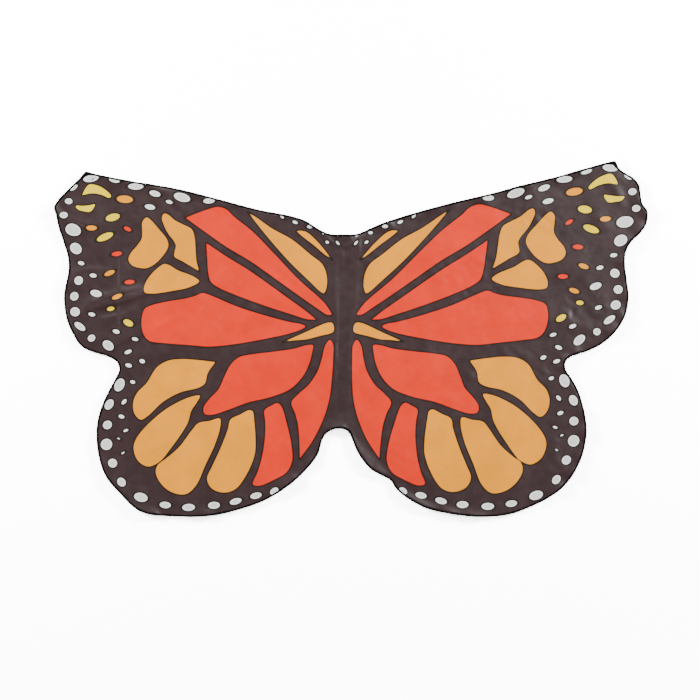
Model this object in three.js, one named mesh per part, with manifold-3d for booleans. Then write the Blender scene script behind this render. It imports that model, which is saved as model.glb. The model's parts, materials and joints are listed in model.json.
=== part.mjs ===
// Child's costume wings: one printed satin cloth in a rolled hem, two elastic shoulder
// straps and two elastic finger loops. Millimetres, +Z up. The cloth lies spread on a
// flat surface with its printed face up, +X towards the wearer's right wing tip and +Y
// towards the neck. The origin is the middle of the footprint, on the surface.
import * as THREE from 'three';
import { mergeVertices } from 'three/addons/utils/BufferGeometryUtils.js';
import Module from 'manifold-3d';

// ---- driving dimensions -------------------------------------------------------------
const spanScale = 1; // wing span against the drafted pattern
const heightScale = 1; // neck-to-tail height against the drafted pattern
const outlineStep = 13; // length of one facet of the edge

const clothThickness = 0.7;
const hemWidth = 3;
const hemUpperLip = 0.5; // hem over the cloth's edge
const clothTuck = hemWidth / 3; // from the outline in to the cloth's edge, inside the hem
const fitGap = 0.3; // clearance between pieces that touch

const foldOffset = 46; // from the body's centre line to each wing's fold line
const foldGap = 0.6; // clearance across a fold line
const bodyCentreX = 2.6; // centre line of the body in the drafting frame

const elasticThickness = 0.9;
const clothAboveElastic = 0.4; // clearance between the elastic and the cloth over it
const strapWidth = 10;
const strapTopOffset = 38; // top end of a strap, from the centre line
const strapTopBelowNeck = 22; // from the neck edge down to the strap's top end
const strapDrop = 186; // from the strap's top end down to its bottom end
const strapBulge = 96; // how far the loop stands out from the line through its ends
const strapSegments = 34; // facets along a strap
const sewnEndLength = 14; // length of elastic that is sewn flat
const strapBottomOffset = sewnEndLength + 1; // bottom end of a strap, from the centre line
const endGap = 0.6; // clearance between a loop and its sewn ends

const fingerElasticWidth = 4;
const fingerLoopWidth = 24; // across the loop, outside
const fingerLoopLength = 36; // from the sewn end to the far end of the loop
const fingerTabWidth = 10;
const fingerTabLength = 8;
const fingerSegments = 36; // facets along a finger loop
const tipInset = fingerTabLength + 5 * hemWidth; // from the tip's corner to the loop's sewn end
const fingerTackLength = 6.5;

const tackLength = 8;
const tackWidth = 1.6;
const tackHeadOverhang = 0.8;
const tackHeadThickness = 0.3;

const labelWidth = 28;
const labelLength = 46;
const labelThickness = 0.5;
const labelBelowNeck = 12;
const labelStitchLength = 22;
const labelStitchBelowTop = 4;

const clothBottom = elasticThickness + clothAboveElastic;
const clothTop = clothBottom + clothThickness;
const hemLowerLip = clothBottom - fitGap; // hem under the cloth's edge
const hemThickness = clothTop + fitGap + hemUpperLip;
const cutMargin = 10; // how far a cutting block reaches past what it cuts
const farAway = 2000; // beyond every edge

// ---- outline of the cut cloth as it lies, drafting frame ------------------------------
// Each wing runs from the neck to its tip's corner, and from there round to the tail notch.
const neckPoint = [0, 210.5];
const notchPoint = [-3, -176.5];
const rightLeadingEdge = [[20, 210.5], [33, 212.5], [60, 224.5], [90, 236.5], [150, 255], [220, 274],
  [290, 290.5], [360, 309], [430, 326.5], [500, 346.5], [528, 354]];
const rightTip = [545, 355.5];
const rightTrailingEdge = [[553, 343], [566, 333.5], [582, 323.5], [593, 310], [596.5, 292], [600, 272],
  [609.5, 259], [610.5, 245], [607, 230], [594, 212], [577, 196], [568, 178], [565, 155], [569, 118],
  [572.5, 86], [566, 50], [548, 19], [520, -7], [490, -22], [455, -34], [446, -44], [446, -58],
  [457, -75], [471, -100], [482, -134], [488.5, -175], [484, -217], [467, -260], [436, -299],
  [386, -329], [330, -349], [275, -353], [220, -347.5], [165, -334.5], [120, -308], [106, -294],
  [98, -281], [58, -258], [33, -227], [21, -200], [14, -184], [5, -178]];
const leftLeadingEdge = [[-18, 210.5], [-33, 214.5], [-53, 225], [-72, 237.5], [-98, 246.5], [-170, 261],
  [-246, 281], [-332, 302.5], [-412, 316], [-464, 325.5], [-495, 332]];
const leftTip = [-511.5, 334.5];
const leftTrailingEdge = [[-521, 325.5], [-546, 302], [-569, 277], [-575, 264.5], [-571, 250], [-567, 229],
  [-555.5, 193], [-548, 168], [-546, 141], [-551, 113], [-555.3, 86], [-550.5, 44], [-535, 8],
  [-520, -13], [-504, -21.5], [-467, -33], [-450.5, -43], [-444.5, -58], [-452, -76], [-474, -118],
  [-488, -161], [-490.5, -190], [-485.5, -234], [-472, -272], [-443, -307], [-412, -337], [-390, -347],
  [-350, -351.5], [-295, -353], [-253, -349.5], [-204, -338], [-150, -318], [-102, -287], [-70, -257],
  [-48, -227], [-40, -201], [-32, -187], [-18, -178.5]];

const draft = ([x, y]) => new THREE.Vector3(x * spanScale, y * heightScale, 0);

/** Points about one facet apart along a smooth curve through the given points. */
function smoothRun(points) {
  const curve = new THREE.CatmullRomCurve3(points.map(draft), false, 'centripetal');
  curve.arcLengthDivisions = 40 * points.length;
  const count = Math.round(curve.getLength() / outlineStep);
  return curve.getSpacedPoints(count).map((point) => new THREE.Vector2(point.x, point.y));
}

/** The closed edge, counterclockwise, with its sharp corners at the two wing tips. */
function laidOutline() {
  const fromRightTip = [rightTip, ...[...rightLeadingEdge].reverse()];
  const backToRightTip = [...[...rightTrailingEdge].reverse(), rightTip];
  const neckRun = smoothRun([...fromRightTip, neckPoint, ...leftLeadingEdge, leftTip]);
  const tailRun = smoothRun([leftTip, ...leftTrailingEdge, notchPoint, ...backToRightTip]);
  return [...neckRun.slice(0, -1), ...tailRun.slice(0, -1)];
}

/** A closed counterclockwise outline moved inwards by a distance, with mitred corners. */
function inset(outline, distance) {
  const count = outline.length;
  return outline.map((point, index) => {
    const before = outline[(index + count - 1) % count];
    const after = outline[(index + 1) % count];
    const incoming = point.clone().sub(before).normalize();
    const outgoing = after.clone().sub(point).normalize();
    const bisector = new THREE.Vector2(-incoming.y - outgoing.y, incoming.x + outgoing.x).normalize();
    const spread = Math.max(0.5, bisector.dot(new THREE.Vector2(-incoming.y, incoming.x)));
    return point.clone().addScaledVector(bisector, distance / spread);
  });
}

const drafted = laidOutline();
const footprint = new THREE.Box2().setFromPoints(drafted);
const footprintCentre = footprint.getCenter(new THREE.Vector2());
const edge = drafted.map((point) => point.clone().sub(footprintCentre));
const centreX = bodyCentreX * spanScale - footprintCentre.x;

/** Height of the edge above or below the middle of the body at one X, in the part's frame. */
function edgeHeight(x, upper) {
  const crossings = edge.flatMap((point, index) => {
    const next = edge[(index + 1) % edge.length];
    if ((point.x - x) * (next.x - x) > 0 || point.x === next.x) return [];
    return [point.y + ((next.y - point.y) * (x - point.x)) / (next.x - point.x)];
  });
  return upper ? Math.max(...crossings) : Math.min(...crossings);
}

// ---- solids --------------------------------------------------------------------------
const wasm = await Module();
wasm.setup();

function slab(outline, bottom, top, holes = []) {
  const shape = new THREE.Shape(outline);
  shape.holes = holes.map((hole) => new THREE.Path(hole));
  const geometry = new THREE.ExtrudeGeometry(shape, { depth: top - bottom, bevelEnabled: false });
  return geometry.translate(0, 0, bottom);
}

function solid(geometry) {
  const bare = geometry.index ? geometry.toNonIndexed() : geometry.clone();
  bare.deleteAttribute('normal');
  bare.deleteAttribute('uv');
  const merged = mergeVertices(bare, 1e-4);
  return new wasm.Manifold(new wasm.Mesh({
    numProp: 3,
    vertProperties: new Float32Array(merged.attributes.position.array),
    triVerts: new Uint32Array(merged.index.array),
  }));
}

function geometryOf(manifold) {
  const mesh = manifold.getMesh();
  const geometry = new THREE.BufferGeometry();
  geometry.setAttribute('position', new THREE.BufferAttribute(new Float32Array(mesh.vertProperties), 3));
  geometry.setIndex(new THREE.BufferAttribute(new Uint32Array(mesh.triVerts), 1));
  const flat = geometry.toNonIndexed();
  flat.computeVertexNormals();
  return flat;
}

/** A block whose middle is at (x, y), turned about +Z. */
function block(x, y, length, width, bottom, top, turn = 0) {
  const geometry = new THREE.BoxGeometry(length, width, top - bottom);
  return geometry.rotateZ(turn).translate(x, y, (bottom + top) / 2);
}

/** A block between two X limits and two Y limits, taller than the cloth and the hem. */
function zone(lowX, highX, lowY, highY) {
  const [middleX, middleY] = [(lowX + highX) / 2, (lowY + highY) / 2];
  return solid(block(middleX, middleY, highX - lowX, highY - lowY, -cutMargin, hemThickness + cutMargin));
}

// ---- materials -----------------------------------------------------------------------
const finish = (color, roughness) => new THREE.MeshStandardMaterial({ color, roughness, metalness: 0 });
const printedSatin = finish('#4a3538', 0.45);
const hemThread = finish('#0c0808', 0.7);
const blackElastic = finish('#141214', 0.8);
const tackThread = finish('#2a2422', 0.7);
const labelSatin = finish('#e9e6e0', 0.5);

const wings = new THREE.Group();

function add(name, manifold, material) {
  const mesh = new THREE.Mesh(geometryOf(manifold), material);
  mesh.name = name;
  wings.add(mesh);
}

// ---- bar tacks: a stem through the pieces it holds, with a head on the printed face ---
const tackSlots = [];

/** The tack's own solid. Its slot, one fit gap wider all round, is kept for the pieces it passes. */
function barTack(x, y, turn, length = tackLength) {
  const headTop = clothTop + fitGap + tackHeadThickness;
  const stem = solid(block(x, y, length, tackWidth, 0, headTop, turn));
  const head = solid(block(x, y, length + 2 * tackHeadOverhang, tackWidth + 2 * tackHeadOverhang,
    clothTop + fitGap, headTop, turn));
  tackSlots.push(solid(block(x, y, length + 2 * fitGap, tackWidth + 2 * fitGap,
    -cutMargin, clothTop + cutMargin, turn)));
  return stem.add(head);
}

const withoutTacks = (manifold) => tackSlots.reduce((rest, slot) => rest.subtract(slot), manifold);

// ---- shoulder straps -------------------------------------------------------------------
/** Where a strap's loop leaves its two sewn ends; side is 1 for +X and -1 for -X. */
function strapLayout(side) {
  const topX = centreX + side * strapTopOffset;
  const topY = edgeHeight(topX, true) - strapTopBelowNeck;
  const top = new THREE.Vector2(topX, topY);
  const bottom = new THREE.Vector2(centreX + side * strapBottomOffset, topY - strapDrop);
  return { top, bottom };
}

/** Outline of a band: both sides of a path, at half the width from it. */
function bandOutline(path, width) {
  const offset = (sign) => path.map((point, index) => {
    const before = path[Math.max(index - 1, 0)];
    const after = path[Math.min(index + 1, path.length - 1)];
    const along = after.clone().sub(before).normalize();
    return point.clone().add(new THREE.Vector2(-along.y, along.x).multiplyScalar(sign * width / 2));
  });
  const outline = [...offset(-1), ...offset(1).reverse()];
  return THREE.ShapeUtils.isClockWise(outline) ? outline.reverse() : outline;
}

/** Half an ellipse from the first end to the second, bulging to one side of the line through them. */
function loopPath(first, second, bulge, side, count) {
  const middle = first.clone().add(second).multiplyScalar(0.5);
  const along = first.clone().sub(second).multiplyScalar(0.5);
  const across = new THREE.Vector2(along.y, -along.x).normalize().multiplyScalar(side * bulge);
  return Array.from({ length: count + 1 }, (_, index) => {
    const angle = (Math.PI * index) / count;
    return middle.clone().addScaledVector(along, Math.cos(angle)).addScaledVector(across, Math.sin(angle));
  });
}

/** A large block beyond a line through a point, starting one gap before that line. */
function beyond(point, direction, gap) {
  const reach = strapDrop + cutMargin;
  const middle = point.clone().addScaledVector(direction, reach / 2 - gap);
  const turn = Math.atan2(direction.y, direction.x);
  return solid(block(middle.x, middle.y, reach, 3 * reach, -cutMargin, cutMargin, turn));
}

for (const [name, side] of [['right', 1], ['left', -1]]) {
  const { top, bottom } = strapLayout(side);
  const along = top.clone().sub(bottom).normalize();
  const inward = new THREE.Vector2(-along.y, along.x).multiplyScalar(side);
  const turn = Math.atan2(along.y, along.x);
  for (const [place, point] of [['top', top], ['bottom', bottom]]) {
    const middle = point.clone().addScaledVector(inward, (endGap + sewnEndLength) / 2);
    const tack = barTack(middle.x, middle.y, turn);
    add(`${name}_strap_${place}_tack`, tack, tackThread);
    const end = solid(block(middle.x, middle.y, strapWidth, sewnEndLength, 0, elasticThickness, turn));
    add(`${name}_strap_${place}_end`, withoutTacks(end), blackElastic);
  }
  const path = loopPath(top, bottom, strapBulge, side, strapSegments);
  const band = solid(slab(bandOutline(path, strapWidth), 0, elasticThickness));
  add(`${name}_shoulder_strap`, band.subtract(beyond(top, inward, endGap / 2)), blackElastic);
}

// ---- finger loops under the wing tips ---------------------------------------------------
/** A drop-shaped path: out along one direction and back, its two ends side by side at the root. */
function teardrop(root, along, across, count) {
  const endSpread = (fingerTabWidth - fingerElasticWidth) / 2;
  const bellySpread = fingerLoopWidth - fingerElasticWidth - endSpread;
  const reach = fingerLoopLength - fingerElasticWidth / 2;
  return Array.from({ length: count + 1 }, (_, index) => {
    const angle = (Math.PI * index) / count;
    const spread = Math.cos(angle) * (endSpread + bellySpread * Math.sin(angle));
    return root.clone().addScaledVector(along, reach * Math.sin(angle)).addScaledVector(across, spread);
  });
}

const tips = {
  right: { corner: draft(rightTip), heading: THREE.MathUtils.degToRad(-128) },
  left: { corner: draft(leftTip), heading: THREE.MathUtils.degToRad(-45) },
};

for (const [name, { corner, heading }] of Object.entries(tips)) {
  const along = new THREE.Vector2(Math.cos(heading), Math.sin(heading));
  const across = new THREE.Vector2(-along.y, along.x);
  const root = new THREE.Vector2(corner.x, corner.y).sub(footprintCentre).addScaledVector(along, tipInset);
  const tabMiddle = root.clone().addScaledVector(along, -(endGap + fingerTabLength) / 2);
  const [tabX, tabY] = [tabMiddle.x, tabMiddle.y];
  const turn = Math.atan2(across.y, across.x);
  add(`${name}_finger_loop_tack`, barTack(tabX, tabY, turn, fingerTackLength), tackThread);
  const tab = solid(block(tabX, tabY, fingerTabWidth, fingerTabLength, 0, elasticThickness, turn));
  add(`${name}_finger_loop_tab`, withoutTacks(tab), blackElastic);
  const path = teardrop(root, along, across, fingerSegments);
  const band = solid(slab(bandOutline(path, fingerElasticWidth), 0, elasticThickness));
  add(`${name}_finger_loop`, band.subtract(beyond(root, along.clone().negate(), endGap / 2)), blackElastic);
}

// ---- care label, blank, behind the neck ---------------------------------------------------
const labelTop = edgeHeight(centreX, true) - labelBelowNeck;
const labelStitch = barTack(centreX, labelTop - labelStitchBelowTop, 0, labelStitchLength);
add('care_label_stitch', labelStitch, tackThread);
const label = solid(block(centreX, labelTop - labelLength / 2, labelWidth, labelLength, 0, labelThickness));
add('care_label', withoutTacks(label), labelSatin);

// ---- cloth and hem, cut apart along the two fold lines ------------------------------------
const hemInner = inset(edge, hemWidth);
const clothEdge = inset(edge, clothTuck);
const channelEdge = inset(edge, clothTuck - fitGap);
const wholeCloth = withoutTacks(solid(slab(clothEdge, clothBottom, clothTop)));
const channel = solid(slab(channelEdge, hemLowerLip, clothTop + fitGap));
const wholeHem = solid(slab(edge, 0, hemThickness, [hemInner])).subtract(channel);

const foldRight = centreX + foldOffset;
const foldLeft = centreX - foldOffset;
const middleY = (edgeHeight(centreX, true) + edgeHeight(centreX, false)) / 2;
const backZone = zone(foldLeft + foldGap / 2, foldRight - foldGap / 2, -farAway, farAway);
const neckZone = zone(-farAway, farAway, middleY, farAway);
const tailZone = zone(-farAway, farAway, -farAway, middleY);
const rightZone = zone(foldRight + foldGap / 2, farAway, -farAway, farAway);
const leftZone = zone(-farAway, foldLeft - foldGap / 2, -farAway, farAway);
const backHem = wholeHem.intersect(backZone);

add('back_cloth', wholeCloth.intersect(backZone), printedSatin);
add('right_wing_cloth', wholeCloth.intersect(rightZone), printedSatin);
add('left_wing_cloth', wholeCloth.intersect(leftZone), printedSatin);
add('neck_hem', backHem.intersect(neckZone), hemThread);
add('tail_hem', backHem.intersect(tailZone), hemThread);
add('right_wing_hem', wholeHem.intersect(rightZone), hemThread);
add('left_wing_hem', wholeHem.intersect(leftZone), hemThread);

export default wings;
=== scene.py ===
"""Child's monarch costume wings, spread flat with the printed face up.

One printed satin cloth inside a rolled and overlocked hem, with elastic shoulder straps and
finger loops sewn underneath. Shapes are worked out in millimetres and stored in metres.
"""

import json
import logging
import math
from dataclasses import dataclass, field
from enum import Enum
from typing import Protocol

import bpy
import numpy as np
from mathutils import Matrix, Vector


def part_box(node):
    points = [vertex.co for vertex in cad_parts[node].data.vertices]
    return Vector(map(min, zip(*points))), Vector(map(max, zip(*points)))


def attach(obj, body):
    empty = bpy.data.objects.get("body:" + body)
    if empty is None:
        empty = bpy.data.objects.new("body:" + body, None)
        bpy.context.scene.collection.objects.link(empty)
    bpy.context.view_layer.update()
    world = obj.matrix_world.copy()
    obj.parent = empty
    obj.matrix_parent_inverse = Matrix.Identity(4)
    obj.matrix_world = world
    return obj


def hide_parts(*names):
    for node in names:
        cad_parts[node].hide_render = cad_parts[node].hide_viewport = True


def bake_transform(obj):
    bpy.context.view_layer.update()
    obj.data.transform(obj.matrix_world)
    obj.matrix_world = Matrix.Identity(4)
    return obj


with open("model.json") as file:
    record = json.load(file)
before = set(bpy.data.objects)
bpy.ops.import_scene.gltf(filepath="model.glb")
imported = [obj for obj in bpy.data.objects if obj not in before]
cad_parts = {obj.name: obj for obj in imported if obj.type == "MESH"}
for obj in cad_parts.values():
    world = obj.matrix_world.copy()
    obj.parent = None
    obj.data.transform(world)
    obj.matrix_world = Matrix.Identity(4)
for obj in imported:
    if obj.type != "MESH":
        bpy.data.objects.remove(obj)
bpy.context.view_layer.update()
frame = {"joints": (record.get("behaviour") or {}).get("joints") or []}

LOG = logging.getLogger("wings")
MM = 0.001
FAR_OUTSIDE = -9.0  # print distance, in millimetres, where no ink is near
SLICES = 24  # long tables of distances are worked out in this many parts, to spare memory

Points = tuple[tuple[float, ...], ...]
Colour = tuple[float, float, float]


class Side(Enum):
    """A wing, and the direction along X in which it reaches."""

    LEFT = -1
    RIGHT = 1

    @property
    def word(self) -> str:
        """The side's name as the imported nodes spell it."""
        return self.name.lower()


class Ink(Enum):
    """The coloured inks of the print, each with its linear colour."""

    RED = (0.83, 0.024, 0.001)
    AMBER = (0.93, 0.33, 0.001)
    YELLOW = (1.0, 0.70, 0.0)
    WHITE = (0.76, 0.76, 0.745)


class Finish(Protocol):
    """What a piece can wear."""

    name: str

    def make(self) -> bpy.types.Material:
        """Builds the material."""


# ---- plane geometry -------------------------------------------------------------------------


def smooth_line(points: Points, step: float, closed: bool) -> np.ndarray:
    """Draws a centripetal Catmull-Rom curve through points, with a corner where a third value is set.

    Args:
        points: The points, each (x, y) or (x, y, True) for a sharp corner.
        step: Distance between the curve's own points.
        closed: Whether the last point joins the first.

    Returns:
        The curve's points as rows of x, y.
    """
    knots = np.array([p[:2] for p in points], float)
    corner = [len(p) > 2 for p in points]
    count = len(knots)
    pieces = []
    for i in range(count if closed else count - 1):
        j = (i + 1) % count
        a, b = knots[i], knots[j]
        before = 2 * a - b if corner[i] or (i == 0 and not closed) else knots[i - 1]
        after = 2 * b - a if corner[j] or (j == count - 1 and not closed) else knots[(j + 1) % count]
        t1 = math.sqrt(np.linalg.norm(a - before))
        t2 = t1 + math.sqrt(np.linalg.norm(b - a))
        t3 = t2 + math.sqrt(np.linalg.norm(after - b))
        steps = max(2, round(float(np.linalg.norm(b - a)) / step))
        t = (t1 + (t2 - t1) * np.arange(steps) / steps)[:, None]
        first = ((t1 - t) * before + t * a) / t1
        second = ((t2 - t) * a + (t - t1) * b) / (t2 - t1)
        third = ((t3 - t) * b + (t - t2) * after) / (t3 - t2)
        left = ((t2 - t) * first + t * second) / t2
        right = ((t3 - t) * second + (t - t1) * third) / (t3 - t1)
        pieces.append(((t2 - t) * left + (t - t1) * right) / (t2 - t1))
    if not closed:
        pieces.append(knots[-1:])
    return np.concatenate(pieces)


def close(ring: np.ndarray) -> np.ndarray:
    """A ring with its first point added again at its end."""
    return np.vstack([ring, ring[:1]])


def distance_to_line(at: np.ndarray, line: np.ndarray) -> tuple[np.ndarray, np.ndarray]:
    """Finds how far points are from a line of segments.

    Args:
        at: Rows of x, y.
        line: The line's points as rows of x, y.

    Returns:
        The distances, and how far along the line the nearest place is, from 0 to 1.
    """
    start, run = line[:-1], np.diff(line, axis=0)
    square = np.maximum((run**2).sum(axis=1), 1e-12)
    away = at[:, None, :] - start[None]
    share = np.clip((away * run).sum(axis=2) / square, 0, 1)
    gap = np.linalg.norm(away - share[..., None] * run, axis=2)
    nearest = gap.argmin(axis=1)
    rows = np.arange(len(at))
    lengths = np.sqrt(square)
    before = np.concatenate([[0], np.cumsum(lengths)[:-1]])
    along = before[nearest] + share[rows, nearest] * lengths[nearest]
    return gap[rows, nearest], along / lengths.sum()


def nearest_on(at: np.ndarray, line: np.ndarray) -> np.ndarray:
    """The places of a line that are nearest to some points."""
    _, share = distance_to_line(at, line)
    return places_along(line, share * run_of(line)[-1])


def run_of(line: np.ndarray) -> np.ndarray:
    """How far along a line each of its points lies."""
    return np.concatenate([[0], np.cumsum(np.linalg.norm(np.diff(line, axis=0), axis=1))])


def places_along(line: np.ndarray, at: np.ndarray) -> np.ndarray:
    """The places that lie at some distances along a line."""
    run = run_of(line)
    return np.stack([np.interp(at, run, line[:, k]) for k in range(line.shape[1])], axis=1)


def respace(line: np.ndarray, step: float) -> np.ndarray:
    """The same line with its points about one step apart."""
    length = run_of(line)[-1]
    return places_along(line, np.linspace(0, length, max(2, round(length / step))))


def is_inside(at: np.ndarray, ring: np.ndarray) -> np.ndarray:
    """Tells which points lie in a closed ring, by counting the edges that a ray along +X crosses.

    Args:
        at: Rows of x, y.
        ring: The ring's points as rows of x, y.

    Returns:
        True for each point that lies inside.
    """
    a, b = ring, np.roll(ring, -1, axis=0)
    x, y = at[:, :1], at[:, 1:]
    spans = (a[:, 1] > y) != (b[:, 1] > y)
    rise = np.where(a[:, 1] == b[:, 1], 1.0, b[:, 1] - a[:, 1])
    crossing = a[:, 0] + (y - a[:, 1]) * (b[:, 0] - a[:, 0]) / rise
    return (spans & (x < crossing)).sum(axis=1) % 2 == 1


def smoothstep(low: float, high: float, value: np.ndarray) -> np.ndarray:
    """Rises from 0 at low to 1 at high, level at both ends."""
    t = np.clip((value - low) / (high - low), 0, 1)
    return t * t * (3 - 2 * t)


@dataclass(frozen=True)
class Ripple:
    """Cosine waves of about one wavelength in seeded directions: a smooth field from about -1 to 1.

    Attributes:
        wavelength: The waves' middle length; they run from 0.7 to 1.5 times it.
        seed: Picks the directions, lengths and phases.
        waves: How many waves are added.
    """

    wavelength: float
    seed: int
    waves: int = 9

    def at(self, x: np.ndarray, y: np.ndarray) -> np.ndarray:
        """The sum of the waves at each place, over the square root of how many there are.

        Args:
            x: Places across.
            y: Places up.

        Returns:
            The field at each place.
        """
        random = np.random.default_rng(self.seed)
        heading = random.uniform(0, 2 * np.pi, self.waves)
        number = 2 * np.pi / (self.wavelength * random.uniform(0.7, 1.5, self.waves))
        phase = random.uniform(0, 2 * np.pi, self.waves)
        total = np.zeros_like(x)
        for k in range(self.waves):
            total += np.cos(number[k] * (x * np.cos(heading[k]) + y * np.sin(heading[k])) + phase[k])
        return total / math.sqrt(self.waves)


# ---- the pattern that the cloth is printed and cut from ------------------------------------------


@dataclass(frozen=True)
class Slip:
    """A part of the left wing that has slipped over the surface, with its print.

    Attributes:
        shift: How far it slipped, across and up.
        left: From where to where the slip grows, as distances to the left.
        up: From where to where it grows, going up.
        top: From where to where it dies out again, going up.
    """

    shift: tuple[float, float]
    left: tuple[float, float]
    up: tuple[float, float]
    top: tuple[float, float] = (900, 1000)

    def share(self, x: np.ndarray, y: np.ndarray) -> np.ndarray:
        """How much of the slip each place of the draft has, from 0 to 1."""
        dying = smoothstep(-self.top[1], -self.top[0], -y)
        return smoothstep(*self.left, -x) * smoothstep(*self.up, y) * dying


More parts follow.
